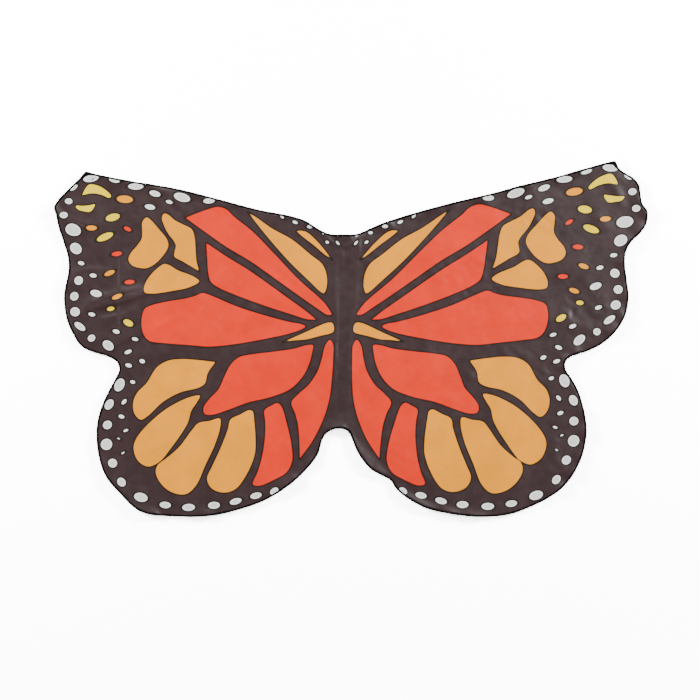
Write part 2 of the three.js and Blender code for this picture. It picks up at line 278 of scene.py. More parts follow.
@dataclass(frozen=True)
class Pattern:
    """The drafted wing: its print and edge in millimetres, x across from the back and y towards the neck.

    The print is drafted as the right wing lies. The two wings' edges are drafted apart, because the
    hem takes up a little more cloth in some places than in others.

    Attributes:
        origin: Where the part's origin lies on the draft.
        neck: The middle of the neck's edge.
        notch: The deepest point of the notch between the hind wings.
        cell_step: Distance between the points of a cell's outline.
        centre_line: The x of the body's centre line, as a polynomial in y.
        sag: Drop for each square of the distance out, and how it grows with y.
        sag_rounds: Rounds that settle where a sagged place came from.
        right_edge: The right wing's edge, from the neck round the tip to the notch.
        left_edge: The left wing's edge, the same way.
        cells: Cells of the print, each by the points of its rounded outline; True marks a sharp corner.
        spots: Oval spots: middle x and y, half length, half width, turn of the long axis in degrees.
        slips: The parts of the left wing that have slipped.
        bulge: A swelling at the left tip: its middle, its reach across and up, and its lift of the print.
    """

    origin: tuple[float, float] = (18.4, 1.2)
    neck: tuple[float, float] = (0, 210.5)
    notch: tuple[float, float] = (-3, -176.5)
    cell_step: float = 3.0
    centre_line: tuple[float, float, float] = (2.6, 0.0345, 1.2e-5)
    sag: tuple[float, float] = (2.4e-5, 3.7e-8)
    sag_rounds: int = 4
    right_edge: Points = (
        (20, 210.5), (33, 212.5), (60, 224.5), (90, 236.5), (150, 255), (220, 274), (290, 290.5), (360, 309),
        (430, 326.5), (500, 346.5), (528, 354), (545, 355.5, True), (553, 343), (566, 333.5), (582, 323.5),
        (593, 310), (596.5, 292), (600, 272), (609.5, 259), (610.5, 245), (607, 230), (594, 212), (577, 196),
        (568, 178), (565, 155), (569, 118), (572.5, 86), (566, 50), (548, 19), (520, -7), (490, -22),
        (455, -34), (446, -44), (446, -58), (457, -75), (471, -100), (482, -134), (488.5, -175), (484, -217),
        (467, -260), (436, -299), (386, -329), (330, -349), (275, -353), (220, -347.5), (165, -334.5),
        (120, -308), (106, -294), (98, -281), (58, -258), (33, -227), (21, -200), (14, -184), (5, -178),
    )
    left_edge: Points = (
        (-18, 210.5), (-33, 214.5), (-53, 225), (-72, 237.5), (-98, 246.5), (-170, 261), (-246, 281),
        (-332, 302.5), (-412, 316), (-464, 325.5), (-495, 332), (-511.5, 334.5, True), (-521, 325.5),
        (-546, 302), (-569, 277), (-575, 264.5), (-571, 250), (-567, 229), (-555.5, 193), (-548, 168),
        (-546, 141), (-551, 113), (-555.3, 86), (-550.5, 44), (-535, 8), (-520, -13), (-504, -21.5),
        (-467, -33), (-450.5, -43), (-444.5, -58), (-452, -76), (-474, -118), (-488, -161), (-490.5, -190),
        (-485.5, -234), (-472, -272), (-443, -307), (-412, -337), (-390, -347), (-350, -351.5), (-295, -353),
        (-253, -349.5), (-204, -338), (-150, -318), (-102, -287), (-70, -257), (-48, -227), (-40, -201),
        (-32, -187), (-18, -178.5),
    )
    cells: tuple[tuple[Ink, tuple[Points, ...]], ...] = (
        (Ink.AMBER, (
            ((36, 160, True), (58, 186), (78, 206), (92, 216.5), (104, 219.5), (113, 218.5, True),
             (100, 207.5), (75, 189), (52, 170.5)),
            ((48, 93), (43.5, 104), (43.5, 122), (48.5, 140), (57, 153.5), (80, 171), (120, 202),
             (160, 224), (196, 248.5), (213.5, 259.5, True), (190, 231), (160, 197), (120, 155),
             (80, 118.5), (56, 97)),
            ((23.5, 16), (22.5, 25), (27, 34.5), (38, 34.5), (80, 16), (123, -3.5, True), (100, -0.5),
             (78, 1), (50, 8)),
            ((300.5, 142, True), (308, 165), (312, 192), (315, 211), (322, 228), (340, 238.5), (358, 248),
             (372, 259.5), (382, 263), (386, 255), (380, 238), (370, 221), (358, 206.5), (352.5, 196),
             (354, 184), (354, 174.5), (335, 163)),
            ((418, 257), (425.5, 248), (425, 235), (424, 215), (432, 201), (444, 186), (447.5, 173),
             (440, 161), (424, 154.5), (408, 153.5), (392, 161.5), (377, 177), (367.5, 195), (371, 209.5),
             (390, 232), (409, 252)),
            ((299, 122), (310, 132), (345, 147), (363, 158), (374, 160.5), (390, 150), (404, 134),
             (411.5, 116), (409.5, 104.5), (395, 101), (350, 105), (318, 111)),
            ((174, -141.5), (181, -138.5), (200, -147.5), (218, -157), (222, -176), (234, -213),
             (249, -250), (258, -275), (248, -295), (222, -304), (199, -296.5), (178, -266), (165, -228),
             (165, -198), (170, -160)),
            ((239, -154.5), (260, -159), (282, -163), (294, -177), (317, -210), (341, -232), (359, -247),
             (361, -263), (347, -287), (324, -303), (298, -306), (279, -289), (262, -247), (245, -205),
             (237, -170)),
            ((281.5, -108), (300, -109.5), (345, -131), (385, -165.5), (405, -193), (408.5, -212),
             (398, -237), (377, -249), (355, -240), (332, -211), (303, -163), (297, -138), (288, -123)),
            ((255, -41, True), (290, -36), (325, -33), (352, -36), (372, -48), (391, -80), (408, -98),
             (415, -118), (411, -141), (397, -154), (383, -146), (355, -119), (322, -101), (285, -92),
             (273.5, -84), (269, -63)),
        )),
        (Ink.RED, (
            ((29, 50.5), (34, 60), (45, 74), (60, 88), (100, 121.5), (150, 171), (200, 219.5), (240, 251),
             (255, 265), (274, 271.5), (295, 267), (338, 252, True), (300, 224.5), (250, 189.5),
             (200, 159.5), (140, 118), (90, 83.5), (60, 63.5), (38, 50)),
            ((58.5, 40.5, True), (80, 57.5), (120, 85.5), (200, 141), (250, 172), (291.5, 200, True),
             (287.5, 170), (283, 140), (277, 121.5), (262, 109.5), (220, 90.5), (160, 68), (110, 51.5),
             (78, 41.5)),
            ((79.5, 27.5), (89, 32.5), (110, 36.5), (160, 50), (220, 70), (275, 94), (291, 99),
             (306, 93.5), (325, 89), (360, 84.5), (392, 78.5), (407, 71.5), (412, 55), (411, 35),
             (404, 16), (392, 5), (360, -0.5), (310, -6), (270, -10), (220, -6.5), (160, 3), (110, 13.5),
             (86, 22)),
            ((62, -10), (76, -10), (100, -16.5), (140, -22), (185, -27), (210, -32.5), (226, -48.5),
             (236, -71), (246, -96), (262, -114), (273.5, -132), (271, -145), (256, -147.5),
             (225, -138.5), (185, -124), (140, -113.5), (103, -98.5), (80, -75), (67.5, -48), (62.5, -22)),
            ((29.5, 1), (22, -9), (20, -35), (20, -80), (22.5, -118), (31, -155), (50, -200),
             (75, -238, True), (77, -210), (82, -172), (89, -148), (98.5, -124.5), (85, -107), (66, -89),
             (50, -62), (43.5, -38), (38, -10)),
            ((118, -131), (126, -125), (138, -130), (151, -139), (148.5, -162), (147, -192), (151, -235),
             (158, -264), (166, -288), (152, -291), (123, -279), (100, -265), (89.5, -243), (92, -212),
             (104, -168)),
        )),
        (Ink.YELLOW, (
            ((492, 304), (505, 319), (525, 330), (539, 332), (548, 321), (552.5, 310, True), (531, 313),
             (512, 308.5), (496, 301)),
            ((523, 290.5), (533, 289.5), (550, 287.5), (565, 287), (560, 279), (545, 275.5), (531, 275.5)),
        )),
    )
    spots: tuple[tuple[Ink, Points], ...] = (
        (Ink.WHITE, (
            (536.5, 344, 16.5, 7.5, -5), (488.5, 336.5, 12.5, 4.8, 18), (444.5, 321, 16.6, 6.7, 6),
            (404, 304, 13, 6, 20), (373, 285.5, 8.5, 4, 20), (412, 277.5, 12, 5.5, 15),
            (565.5, 236, 17.5, 11.5, 10), (557, 199, 14, 11, 30), (543, 169.5, 8, 4.5, 10),
            (580.5, 296.5, 8.7, 7.2, 15), (588, 263, 8.7, 7.2, 5), (571.5, 326, 10, 4.5, -35),
            (292.5, 284, 12.3, 5.8, 0), (347.5, 293.5, 18.5, 8.5, 20), (143.5, 247.5, 6, 3, 45),
            (116.5, 236, 6.8, 3.5, 25), (86, 227, 7, 4, 0), (57, 214.5, 5.7, 3.5, 0),
            (49, 195.5, 5, 3.3, 30), (28, 194, 6.7, 2.8, 48), (30, 210, 6, 3.5, 30),
            (515.5, 144.5, 8, 4.5, 15), (545.5, 133.5, 9.8, 9.2, -30), (507, 107.5, 12.8, 7, 20),
            (552, 101, 9.3, 9, 0), (547, 70, 10.5, 9.3, 25), (512.5, 65, 8, 4.4, 18),
            (534.5, 40.5, 13.8, 6.5, 35), (461, 27.5, 8.2, 4.5, 20), (509.5, 16.5, 7.8, 7.5, 0),
            (422, 10.5, 7.8, 4, 18), (474.5, 0, 13.8, 8.5, 40), (433, -15, 8, 4.5, -20),
            (402.5, -35, 6.8, 4.5, 25), (429, -42.5, 8, 4.3, 20), (418.5, -76.5, 6.2, 4, 20),
            (444.5, -81.5, 13.8, 10, -70), (433, -116, 7, 4.2, -50), (462.5, -120.5, 11.5, 8.5, -62),
            (436.5, -146, 7, 4.2, 20), (463.5, -162, 9.3, 9, 0), (426, -174.5, 6, 3.2, -20),
            (439.5, -190.5, 4.5, 2.4, 25), (463, -201.5, 12, 11.3, 50), (429, -220, 4.8, 2.4, -30),
            (448.5, -240, 10, 8.8, 45), (428.5, -279, 10.5, 7.8, 50), (388, -310.5, 14.5, 9, 18),
            (338.5, -327, 12, 6.8, 8), (291.5, -332.5, 13.3, 7.3, 0), (241, -329, 12.3, 7.3, 0),
            (198, -321.5, 12.6, 6.5, -15), (158, -310.5, 12, 6.5, -12), (122, -301.5, 9.5, 6.5, -35),
        )),
        (Ink.AMBER, (
            (464.5, 296.5, 17.5, 8, 10), (526.5, 242, 12, 5.7, 5), (483, 147.5, 11.5, 5.5, -20),
            (464, 98.5, 11.5, 5.4, -18),
        )),
        (Ink.YELLOW, (
            (485.5, 261, 14.8, 8, -8), (498, 222, 17.5, 7.5, -20), (475.5, 74.5, 8.3, 5, -5),
            (438, 44, 11.8, 6.5, 30),
        )),
        (Ink.RED, (
            (454, 235.5, 9.5, 4.5, 30), (471.5, 186, 11.5, 5.4, -3), (441.5, 127, 11.3, 5.2, 0),
        )),
    )
    slips: tuple[Slip, ...] = (
        Slip((4.5, 3.0), left=(500, 560), up=(20, 120)),
        Slip((2.6, 0.0), left=(300, 420), up=(-60, 10)),
        Slip((0.0, 2.2), left=(500, 545), up=(-60, 0), top=(230, 290)),
    )
    bulge: tuple[float, float, float, float, float] = (-563, 250, 34, 26, 6.0)

    def centre_x(self, y: np.ndarray) -> np.ndarray:
        """Where the leaning centre line of the body lies at a height of the draft."""
        at_origin, lean, bend = self.centre_line
        return at_origin + lean * y + bend * y * y

    def centre_of(self, y: np.ndarray) -> np.ndarray:
        """The same centre line, in the part's frame."""
        return self.centre_x(y + self.origin[1]) - self.origin[0]

    def on_print(self, x: np.ndarray, y: np.ndarray, side: Side) -> tuple[np.ndarray, np.ndarray]:
        """Finds the place on the print that lies at a place of the spread wings.

        The cut is symmetric. The shear that moves the right wing by some amount moves the left one by the
        same amount the other way, so a left place is mirrored about the leaning centre line and lifted by
        twice the sag, which grows with the square of the distance from the body.

        Args:
            x: Places across, in the part's frame.
            y: Places towards the neck, in the part's frame.
            side: The wing that they are on.

        Returns:
            The places' x and y on the drafted print.
        """
        x, y = x + self.origin[0], y + self.origin[1]
        if side is Side.RIGHT:
            return x, y
        middle_x, middle_y, wide, high, lift = self.bulge
        bulge = np.exp(-(((x - middle_x) / wide) ** 2 + ((y - middle_y) / high) ** 2))
        shares = [(slip.shift, slip.share(x, y)) for slip in self.slips]
        x = x - sum(shift[0] * share for shift, share in shares)
        y = y - sum(shift[1] * share for shift, share in shares) - lift * bulge
        across, up = -x + 2 * self.centre_x(y), y
        for _ in range(self.sag_rounds):
            up = y + 2 * across**2 * (self.sag[0] + self.sag[1] * up)
            across = -x + 2 * self.centre_x(up)
        return across, up

    def edge(self, step: float) -> np.ndarray:
        """The closed edge in the part's frame, counterclockwise from the notch."""
        ring = (self.notch, *self.right_edge[::-1], self.neck, *self.left_edge)
        return smooth_line(ring, step, closed=True) - self.origin

    def inks(self, x: np.ndarray, y: np.ndarray) -> dict[Ink, np.ndarray]:
        """Works out how deep each place lies inside each ink, in millimetres, negative outside.

        A cell gives the distance to its edge. A spot gives a paraboloid that is 0 on its oval edge and
        falls at a slope of 1 there, because that keeps its round shape between the cloth's points.

        Args:
            x: Places across the print.
            y: Places up the print.

        Returns:
            The depth in each ink.
        """
        at = np.stack([x, y], axis=1)
        depth = {ink: np.full(len(x), FAR_OUTSIDE) for ink in Ink}
        for ink, points in ((ink, points) for ink, group in self.cells for points in group):
            ring = smooth_line(points, self.cell_step, closed=True)
            low, high = ring.min(axis=0) + FAR_OUTSIDE, ring.max(axis=0) - FAR_OUTSIDE
            near = ((at > low) & (at < high)).all(axis=1)
            gap, _ = distance_to_line(at[near], close(ring))
            signed = np.where(is_inside(at[near], ring), gap, -gap)
            depth[ink][near] = np.maximum(depth[ink][near], signed)
        for ink, spot in ((ink, spot) for ink, group in self.spots for spot in group):
            middle_x, middle_y, length, width, turn = spot
            c, s = math.cos(math.radians(turn)), math.sin(math.radians(turn))
            right, up = x - middle_x, y - middle_y
            u, v = right * c + up * s, up * c - right * s
            bowl = (1 - (u / length) ** 2 - (v / width) ** 2) * width / 2
            depth[ink] = np.maximum(depth[ink], np.maximum(bowl, FAR_OUTSIDE))
        return depth


# ---- how the cloth lies -----------------------------------------------------------------------


@dataclass(frozen=True)
class Crease:
    """A ridge in the cloth along a line of the draft.

    Attributes:
        points: The line.
        height: The ridge's height.
        width: Half its width.
        lean: From -1 to 1: how much steeper its left side is than its right, along the line.
        step: Distance between the line's own points.
        taper: Power of the sine along the line; the smaller, the blunter the ends.
    """

    points: Points
    height: float
    width: float
    lean: float = 0.0
    step: float = 6.0
    taper: float = 0.6

    def lift(self, at: np.ndarray) -> np.ndarray:
        """How far the ridge lifts the cloth: a bell across it that tapers to nothing at its ends.

        Args:
            at: Places of the draft as rows of x, y.

        Returns:
            The lift of each place.
        """
        line = smooth_line(self.points, self.step, closed=False)
        gap, along = distance_to_line(at, line)
        run = line[-1] - line[0]
        side = np.sign((at[:, 0] - line[0, 0]) * run[1] - (at[:, 1] - line[0, 1]) * run[0])
        width = self.width * (1 + self.lean * side)
        ends = np.sin(np.pi * np.clip(along, 0, 1)) ** self.taper
        return self.height * np.exp(-((gap / width) ** 2)) * ends


@dataclass(frozen=True)
class Drape:
    """The height of the cloth's middle above the surface it lies on.

    Attributes:
        rest: Its least height.
        undulation: How high the broad waves stand.
        wrinkle: How high the fine waves stand where the cloth is slack.
        edge_lift: How far the free edge can lift.
        edge_reach: How far inwards the lifted edge reaches.
        most: The height that nothing passes.
        knee: How far below that the heights start to be pressed together.
        level_band: The cloth stays level across the centre line within this distance.
        broad: The broad waves and their shares.
        fine: The wrinkles.
        twist: How the wrinkles wander sideways, and by how much.
        slack: Where the cloth is slack.
        lifting: Waves that lift the edge, and their shares.
        creases: Folds and gathers.
    """

    rest: float = 1.75
    undulation: float = 0.75
    wrinkle: float = 0.2
    edge_lift: float = 4.0
    edge_reach: float = 15.0
    most: float = 8.5
    knee: float = 2.0
    level_band: float = 14.0
    broad: tuple[tuple[Ripple, float], ...] = ((Ripple(110, seed=3), 1.0), (Ripple(46, seed=5), 0.5))
    fine: Ripple = Ripple(21, seed=11)
    twist: tuple[Ripple, float] = (Ripple(60, seed=8), 4.0)
    slack: Ripple = Ripple(180, seed=14)
    lifting: tuple[tuple[Ripple, float], ...] = ((Ripple(95, seed=21), 1.0), (Ripple(38, seed=23), 0.5))
    creases: tuple[Crease, ...] = (
        # The fold below the left wing's tip, with its lit upper slope.
        Crease(((-524, 60), (-490, 66), (-450, 76), (-404, 90), (-380, 98)), 4.4, 11, -0.4),
        Crease(((-520, 66), (-484, 84), (-440, 98), (-396, 106)), 1.6, 7, -0.3),
        Crease(((-500, 40), (-455, 44), (-405, 62)), 1.8, 12, 0.3),
        Crease(((-560, 244), (-520, 226), (-470, 220)), 1.5, 12, -0.4),
        Crease(((-548, 130), (-500, 140), (-455, 134)), 1.4, 14, 0.4),
        Crease(((-470, -20), (-430, 6), (-380, 18)), 1.6, 11, -0.4),
        # Folds that the packing pressed in.
        Crease(((-444, 250), (-442, 120), (-443, -24)), 1.8, 9, -0.45),
        Crease(((-250, 92), (-249, 30), (-250, -12)), 0.9, 7),
        Crease(((-432, 180), (-428, 110)), 1.1, 14),
        # Slack along the body, gathered at the neck's corners.
        Crease(((-14, 176), (-15, 100), (-12, 20), (-16, -60), (-14, -150)), 1.3, 8, 0.2),
        Crease(((22, 168), (18, 90), (12, 10), (10, -80), (6, -160)), 1.1, 8, -0.2),
        Crease(((-30, 190), (-30, 120), (-30, 40)), 0.8, 7),
        Crease(((30, 186), (28, 110), (24, 30)), 0.7, 6),
        Crease(((-38, 214), (-20, 196), (0, 184)), 1.6, 4),
        Crease(((46, 214), (24, 198), (4, 184)), 1.6, 4),
        Crease(((2, 186), (3, 165), (1, 140)), 1.5, 4),
        Crease(((-34, -20), (-4, 8), (14, 24)), 0.9, 5),
        Crease(((-30, 208), (-26, 178)), 1.0, 3),
        Crease(((34, 206), (34, 172)), 1.0, 3),
        # Soft folds in the wings.
        Crease(((-384, 18), (-350, 36), (-318, 52)), 0.9, 8),
        Crease(((-430, -18), (-380, -28), (-336, -8)), 1.0, 12),
        Crease(((-400, -232), (-372, -214), (-340, -196)), 1.1, 8),
        Crease(((-360, -250), (-300, -190)), 0.8, 10),
        Crease(((-248, -150), (-236, -190)), 0.7, 6),
        Crease(((-402, -330), (-396, -290)), 1.6, 9),
        Crease(((430, 60), (470, 30), (520, 20)), 1.2, 13),
        Crease(((300, 60), (340, 40), (390, 50)), 0.8, 14),
        Crease(((520, 330), (548, 300), (560, 262)), 1.4, 11),
        Crease(((500, 250), (540, 216)), 1.1, 12),
        Crease(((410, -60), (390, -96), (400, -140)), 1.0, 12),
        Crease(((250, -60), (262, -84)), 0.9, 8),
        Crease(((330, -110), (352, -160), (396, -196)), 0.8, 9),
        Crease(((430, -196), (420, -250)), 1.2, 10),
        Crease(((180, -110), (240, -128)), 0.7, 10),
    )

    def height(self, x: np.ndarray, y: np.ndarray, edge_gap: np.ndarray) -> np.ndarray:
        """Adds up undulations, creases and the lift of the free edge.

        The height is rest + half the undulation * (broad waves above their lowest) + wrinkles where the
        cloth is slack + the creases + edge lift * exp(-(gap / reach) ** 1.5) * a wave along the edge.
        Above the knee it is pressed together by a hyperbolic tangent, so that it never passes the most.

        Args:
            x: Places across, in the part's frame.
            y: Places towards the neck, in the part's frame.
            edge_gap: Distance of each place from the cloth's edge.

        Returns:
            The height of the cloth's middle above the surface.
        """
        centre = PATTERN.centre_of(y)
        x = centre + (x - centre) * smoothstep(0, self.level_band, np.abs(x - centre))
        broad = sum(share * ripple.at(x, y) for ripple, share in self.broad)
        wander, far = self.twist
        fine = self.fine.at(x + far * wander.at(x, y), y)
        slack = smoothstep(-0.3, 1.0, self.slack.at(x, y))
        total = self.rest + self.undulation * (broad - broad.min()) * 0.5
        total = total + self.wrinkle * slack * (fine + 1.6)
        draft = np.stack([x, y], axis=1) + PATTERN.origin
        total = total + sum(crease.lift(draft) for crease in self.creases)
        wave = sum(share * ripple.at(x, y) for ripple, share in self.lifting)
        curl = np.exp(-((edge_gap / self.edge_reach) ** 1.5)) * smoothstep(-0.9, 1.6, wave)
        total = total + self.edge_lift * curl
        bend = self.most - self.knee
        return np.where(total > bend, bend + self.knee * np.tanh((total - bend) / self.knee), total)


PATTERN = Pattern()
DRAPE = Drape()


@dataclass
class Edge:
    """The cloth's cut edge and the lines inside it.

    Attributes:
        step: Distance between the edge's points.
        ring: The closed edge, counterclockwise.
    """

    step: float = 4.0
    ring: np.ndarray = field(init=False)

    def __post_init__(self) -> None:
        """Draws the edge once."""
        self.ring = PATTERN.edge(self.step)

    def inset(self, distance: float) -> np.ndarray:
        """The ring moved inwards by a distance along its own normals.

        Args:
            distance: How far.

        Returns:
            The new ring's points.
        """
        tangent = np.roll(self.ring, -1, axis=0) - np.roll(self.ring, 1, axis=0)
        tangent /= np.linalg.norm(tangent, axis=1, keepdims=True)
        return self.ring + distance * np.stack([-tangent[:, 1], tangent[:, 0]], axis=1)

    def gap(self, x: np.ndarray, y: np.ndarray) -> np.ndarray:
        """Distance of places from the edge.

        Args:
            x: Places across.
            y: Places up.

        Returns:
            The distance of each place.
        """
        closed = close(self.ring)
        at = np.stack([x, y], axis=1)
        return np.concatenate([distance_to_line(part, closed)[0] for part in np.array_split(at, SLICES)])


EDGE = Edge()


# ---- mesh making ------------------------------------------------------------------------------


def build_mesh(
    name: str,
    points: np.ndarray,
    faces: np.ndarray,
    smooth: np.ndarray | bool = True,
    slots: np.ndarray | None = None,
) -> bpy.types.Object:
    """Makes a piece from millimetre points and four-cornered faces.

    Args:
        name: The piece's name.
        points: Rows of x, y, z in millimetres.
        faces: Rows of four point numbers.
        smooth: Whether each face is smooth, or one value for all.
        slots: Each face's material slot.

    Returns:
        The new object, linked to the scene, at the origin.
    """
    mesh = bpy.data.meshes.new(name)
    mesh.vertices.add(len(points))
    mesh.vertices.foreach_set("co", (points * MM).astype(np.float32).ravel())
    mesh.loops.add(faces.size)
    mesh.loops.foreach_set("vertex_index", faces.astype(np.int32).ravel())
    mesh.polygons.add(len(faces))
    mesh.polygons.foreach_set("loop_start", np.arange(0, faces.size, 4, dtype=np.int32))
    mesh.polygons.foreach_set("use_smooth", np.broadcast_to(smooth, len(faces)).copy())
    if slots is not None:
        mesh.polygons.foreach_set("material_index", slots.astype(np.int32))
    mesh.update(calc_edges=True)
    mesh.validate()
    piece = bpy.data.objects.new(name, mesh)
    bpy.context.scene.collection.objects.link(piece)
    return piece


def add_attribute(piece: bpy.types.Object, name: str, values: np.ndarray) -> None:
    """Stores one number for each of a piece's points."""
    attribute = piece.data.attributes.new(name, "FLOAT", "POINT")
    attribute.data.foreach_set("value", values.astype(np.float32))


def add_uv(piece: bpy.types.Object, name: str, uv: np.ndarray) -> None:
    """Stores a map, in metres, from each point's u and v in millimetres.

    Args:
        piece: The piece.
        name: The map's name.
        uv: Rows of u, v, one for each point.
    """
    layer = piece.data.uv_layers.new(name=name)
    corners = np.empty(len(piece.data.loops), np.int32)
    piece.data.loops.foreach_get("vertex_index", corners)
    layer.data.foreach_set("uv", (uv[corners] * MM).astype(np.float32).ravel())


def wear(piece: bpy.types.Object, *finishes: Finish) -> None:
    """Gives a piece its materials, each made the first time that it is asked for."""
    for finish in finishes:
        piece.data.materials.append(bpy.data.materials.get(finish.name) or finish.make())


def declare(piece: bpy.types.Object, slot: str, *nodes: str) -> None:
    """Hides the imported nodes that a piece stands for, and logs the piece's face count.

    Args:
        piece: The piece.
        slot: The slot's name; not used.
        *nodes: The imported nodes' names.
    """
    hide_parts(*nodes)
    LOG.info("%s: %d faces", piece.name, len(piece.data.polygons))


def open_edges(cells: np.ndarray) -> np.ndarray:
    """The edges that only one cell has, as rows of two point numbers in that cell's own order.

    Args:
        cells: Rows of four point numbers.

    Returns:
        Rows of two point numbers.
    """
    edges = np.stack([cells, np.roll(cells, -1, axis=1)], axis=-1).reshape(-1, 2)
    keys = edges.min(axis=1).astype(np.int64) * (cells.max() + 1) + edges.max(axis=1)
    _, first, counts = np.unique(keys, return_index=True, return_counts=True)
    return edges[first[counts == 1]]


def grid_faces(rows: int, columns: int, wrap: bool = False) -> np.ndarray:
    """Makes the four-cornered faces of a grid that is stored row by row.

    Args:
        rows: How many rows of points it has.
        columns: How many points a row has.
        wrap: Whether the last column is joined to the first.

    Returns:
        Rows of four point numbers, counterclockwise.
    """
    start = np.arange(rows - 1)[:, None] * columns
    c = np.arange(columns if wrap else columns - 1)[None]
    after = (c + 1) % columns
    corners = (start + c, start + after, start + columns + after, start + columns + c)
    return np.stack(corners, axis=-1).reshape(-1, 4)


def shell(
    flat: np.ndarray, z: np.ndarray, cells: np.ndarray, thickness: float
) -> tuple[np.ndarray, np.ndarray, np.ndarray]:
    """Makes a thin sheet with two sides and a rim from a flat net.

    Args:
        flat: The net's points as rows of x, y.
        z: The height of the sheet's middle at each point.
        cells: The net's cells, counterclockwise seen from above.
        thickness: The sheet's thickness.

    Returns:
        The points (the upper side's, then the lower side's), the faces (upper, lower, rim), and the part of
        each face: 0 upper, 1 lower, 2 rim.
    """
    half, count = thickness / 2, len(flat)
    points = np.vstack([np.column_stack([flat, z + half]), np.column_stack([flat, z - half])])
    rim = open_edges(cells)
    wall = np.column_stack([rim[:, 0] + count, rim[:, 1] + count, rim[:, 1], rim[:, 0]])
    parts = np.repeat([0, 1, 2], [len(cells), len(cells), len(wall)])
    return points, np.concatenate([cells, cells[:, ::-1] + count, wall]), parts


def flat_frames(path: np.ndarray) -> tuple[np.ndarray, np.ndarray]:
    """Side and up vectors of a path that runs over a flat surface: up stays near +Z.

    Args:
        path: Rows of x, y, z.

    Returns:
        The unit vectors across the path, to its right, and those out of the surface.
    """
    tangent = np.gradient(path, axis=0)
    tangent /= np.linalg.norm(tangent, axis=1, keepdims=True)
    side = np.stack([tangent[:, 1], -tangent[:, 0], np.zeros(len(path))], axis=1)
    side /= np.linalg.norm(side, axis=1, keepdims=True)
    return side, np.cross(side, tangent)


def circle(count: int) -> np.ndarray:
    """The angles of evenly spaced points round a circle."""
    return np.linspace(0, 2 * np.pi, count, endpoint=False)


def sweep(
    name: str, path: np.ndarray, profile: np.ndarray, across: np.ndarray, along: np.ndarray
) -> bpy.types.Object:
    """Makes a piece by carrying a closed profile along a path, with both ends closed.

    Each point is path + side * (profile's first number) + up * (profile's second number).

    Args:
        name: The piece's name.
        path: Rows of x, y, z over a nearly flat surface.
        profile: Rows of two numbers, counterclockwise seen along the path, or one such table for each row of
            the path.
        across: The thread map's u at each point of the profile.
        along: The thread map's v at each point of the path.

    Returns:
        The piece, its caps folded shut along the profile's middle, with its map "thread".
    """
    side, up = flat_frames(path)
    points = path[:, None] + side[:, None] * profile[..., :1] + up[:, None] * profile[..., 1:]
    rows, columns = points.shape[:2]
    k = np.arange(columns // 2 - 1)
    near = np.stack([k, k + 1, columns - 2 - k, columns - 1 - k], axis=1)
    far = near[:, ::-1] + (rows - 1) * columns
    faces = np.concatenate([grid_faces(rows, columns, wrap=True), near, far])
    piece = build_mesh(name, points.reshape(-1, 3), faces)
    add_uv(piece, "thread", np.stack([np.tile(across, rows), np.repeat(along, columns)], axis=1))
    return piece


# ---- finishes -----------------------------------------------------------------------------------


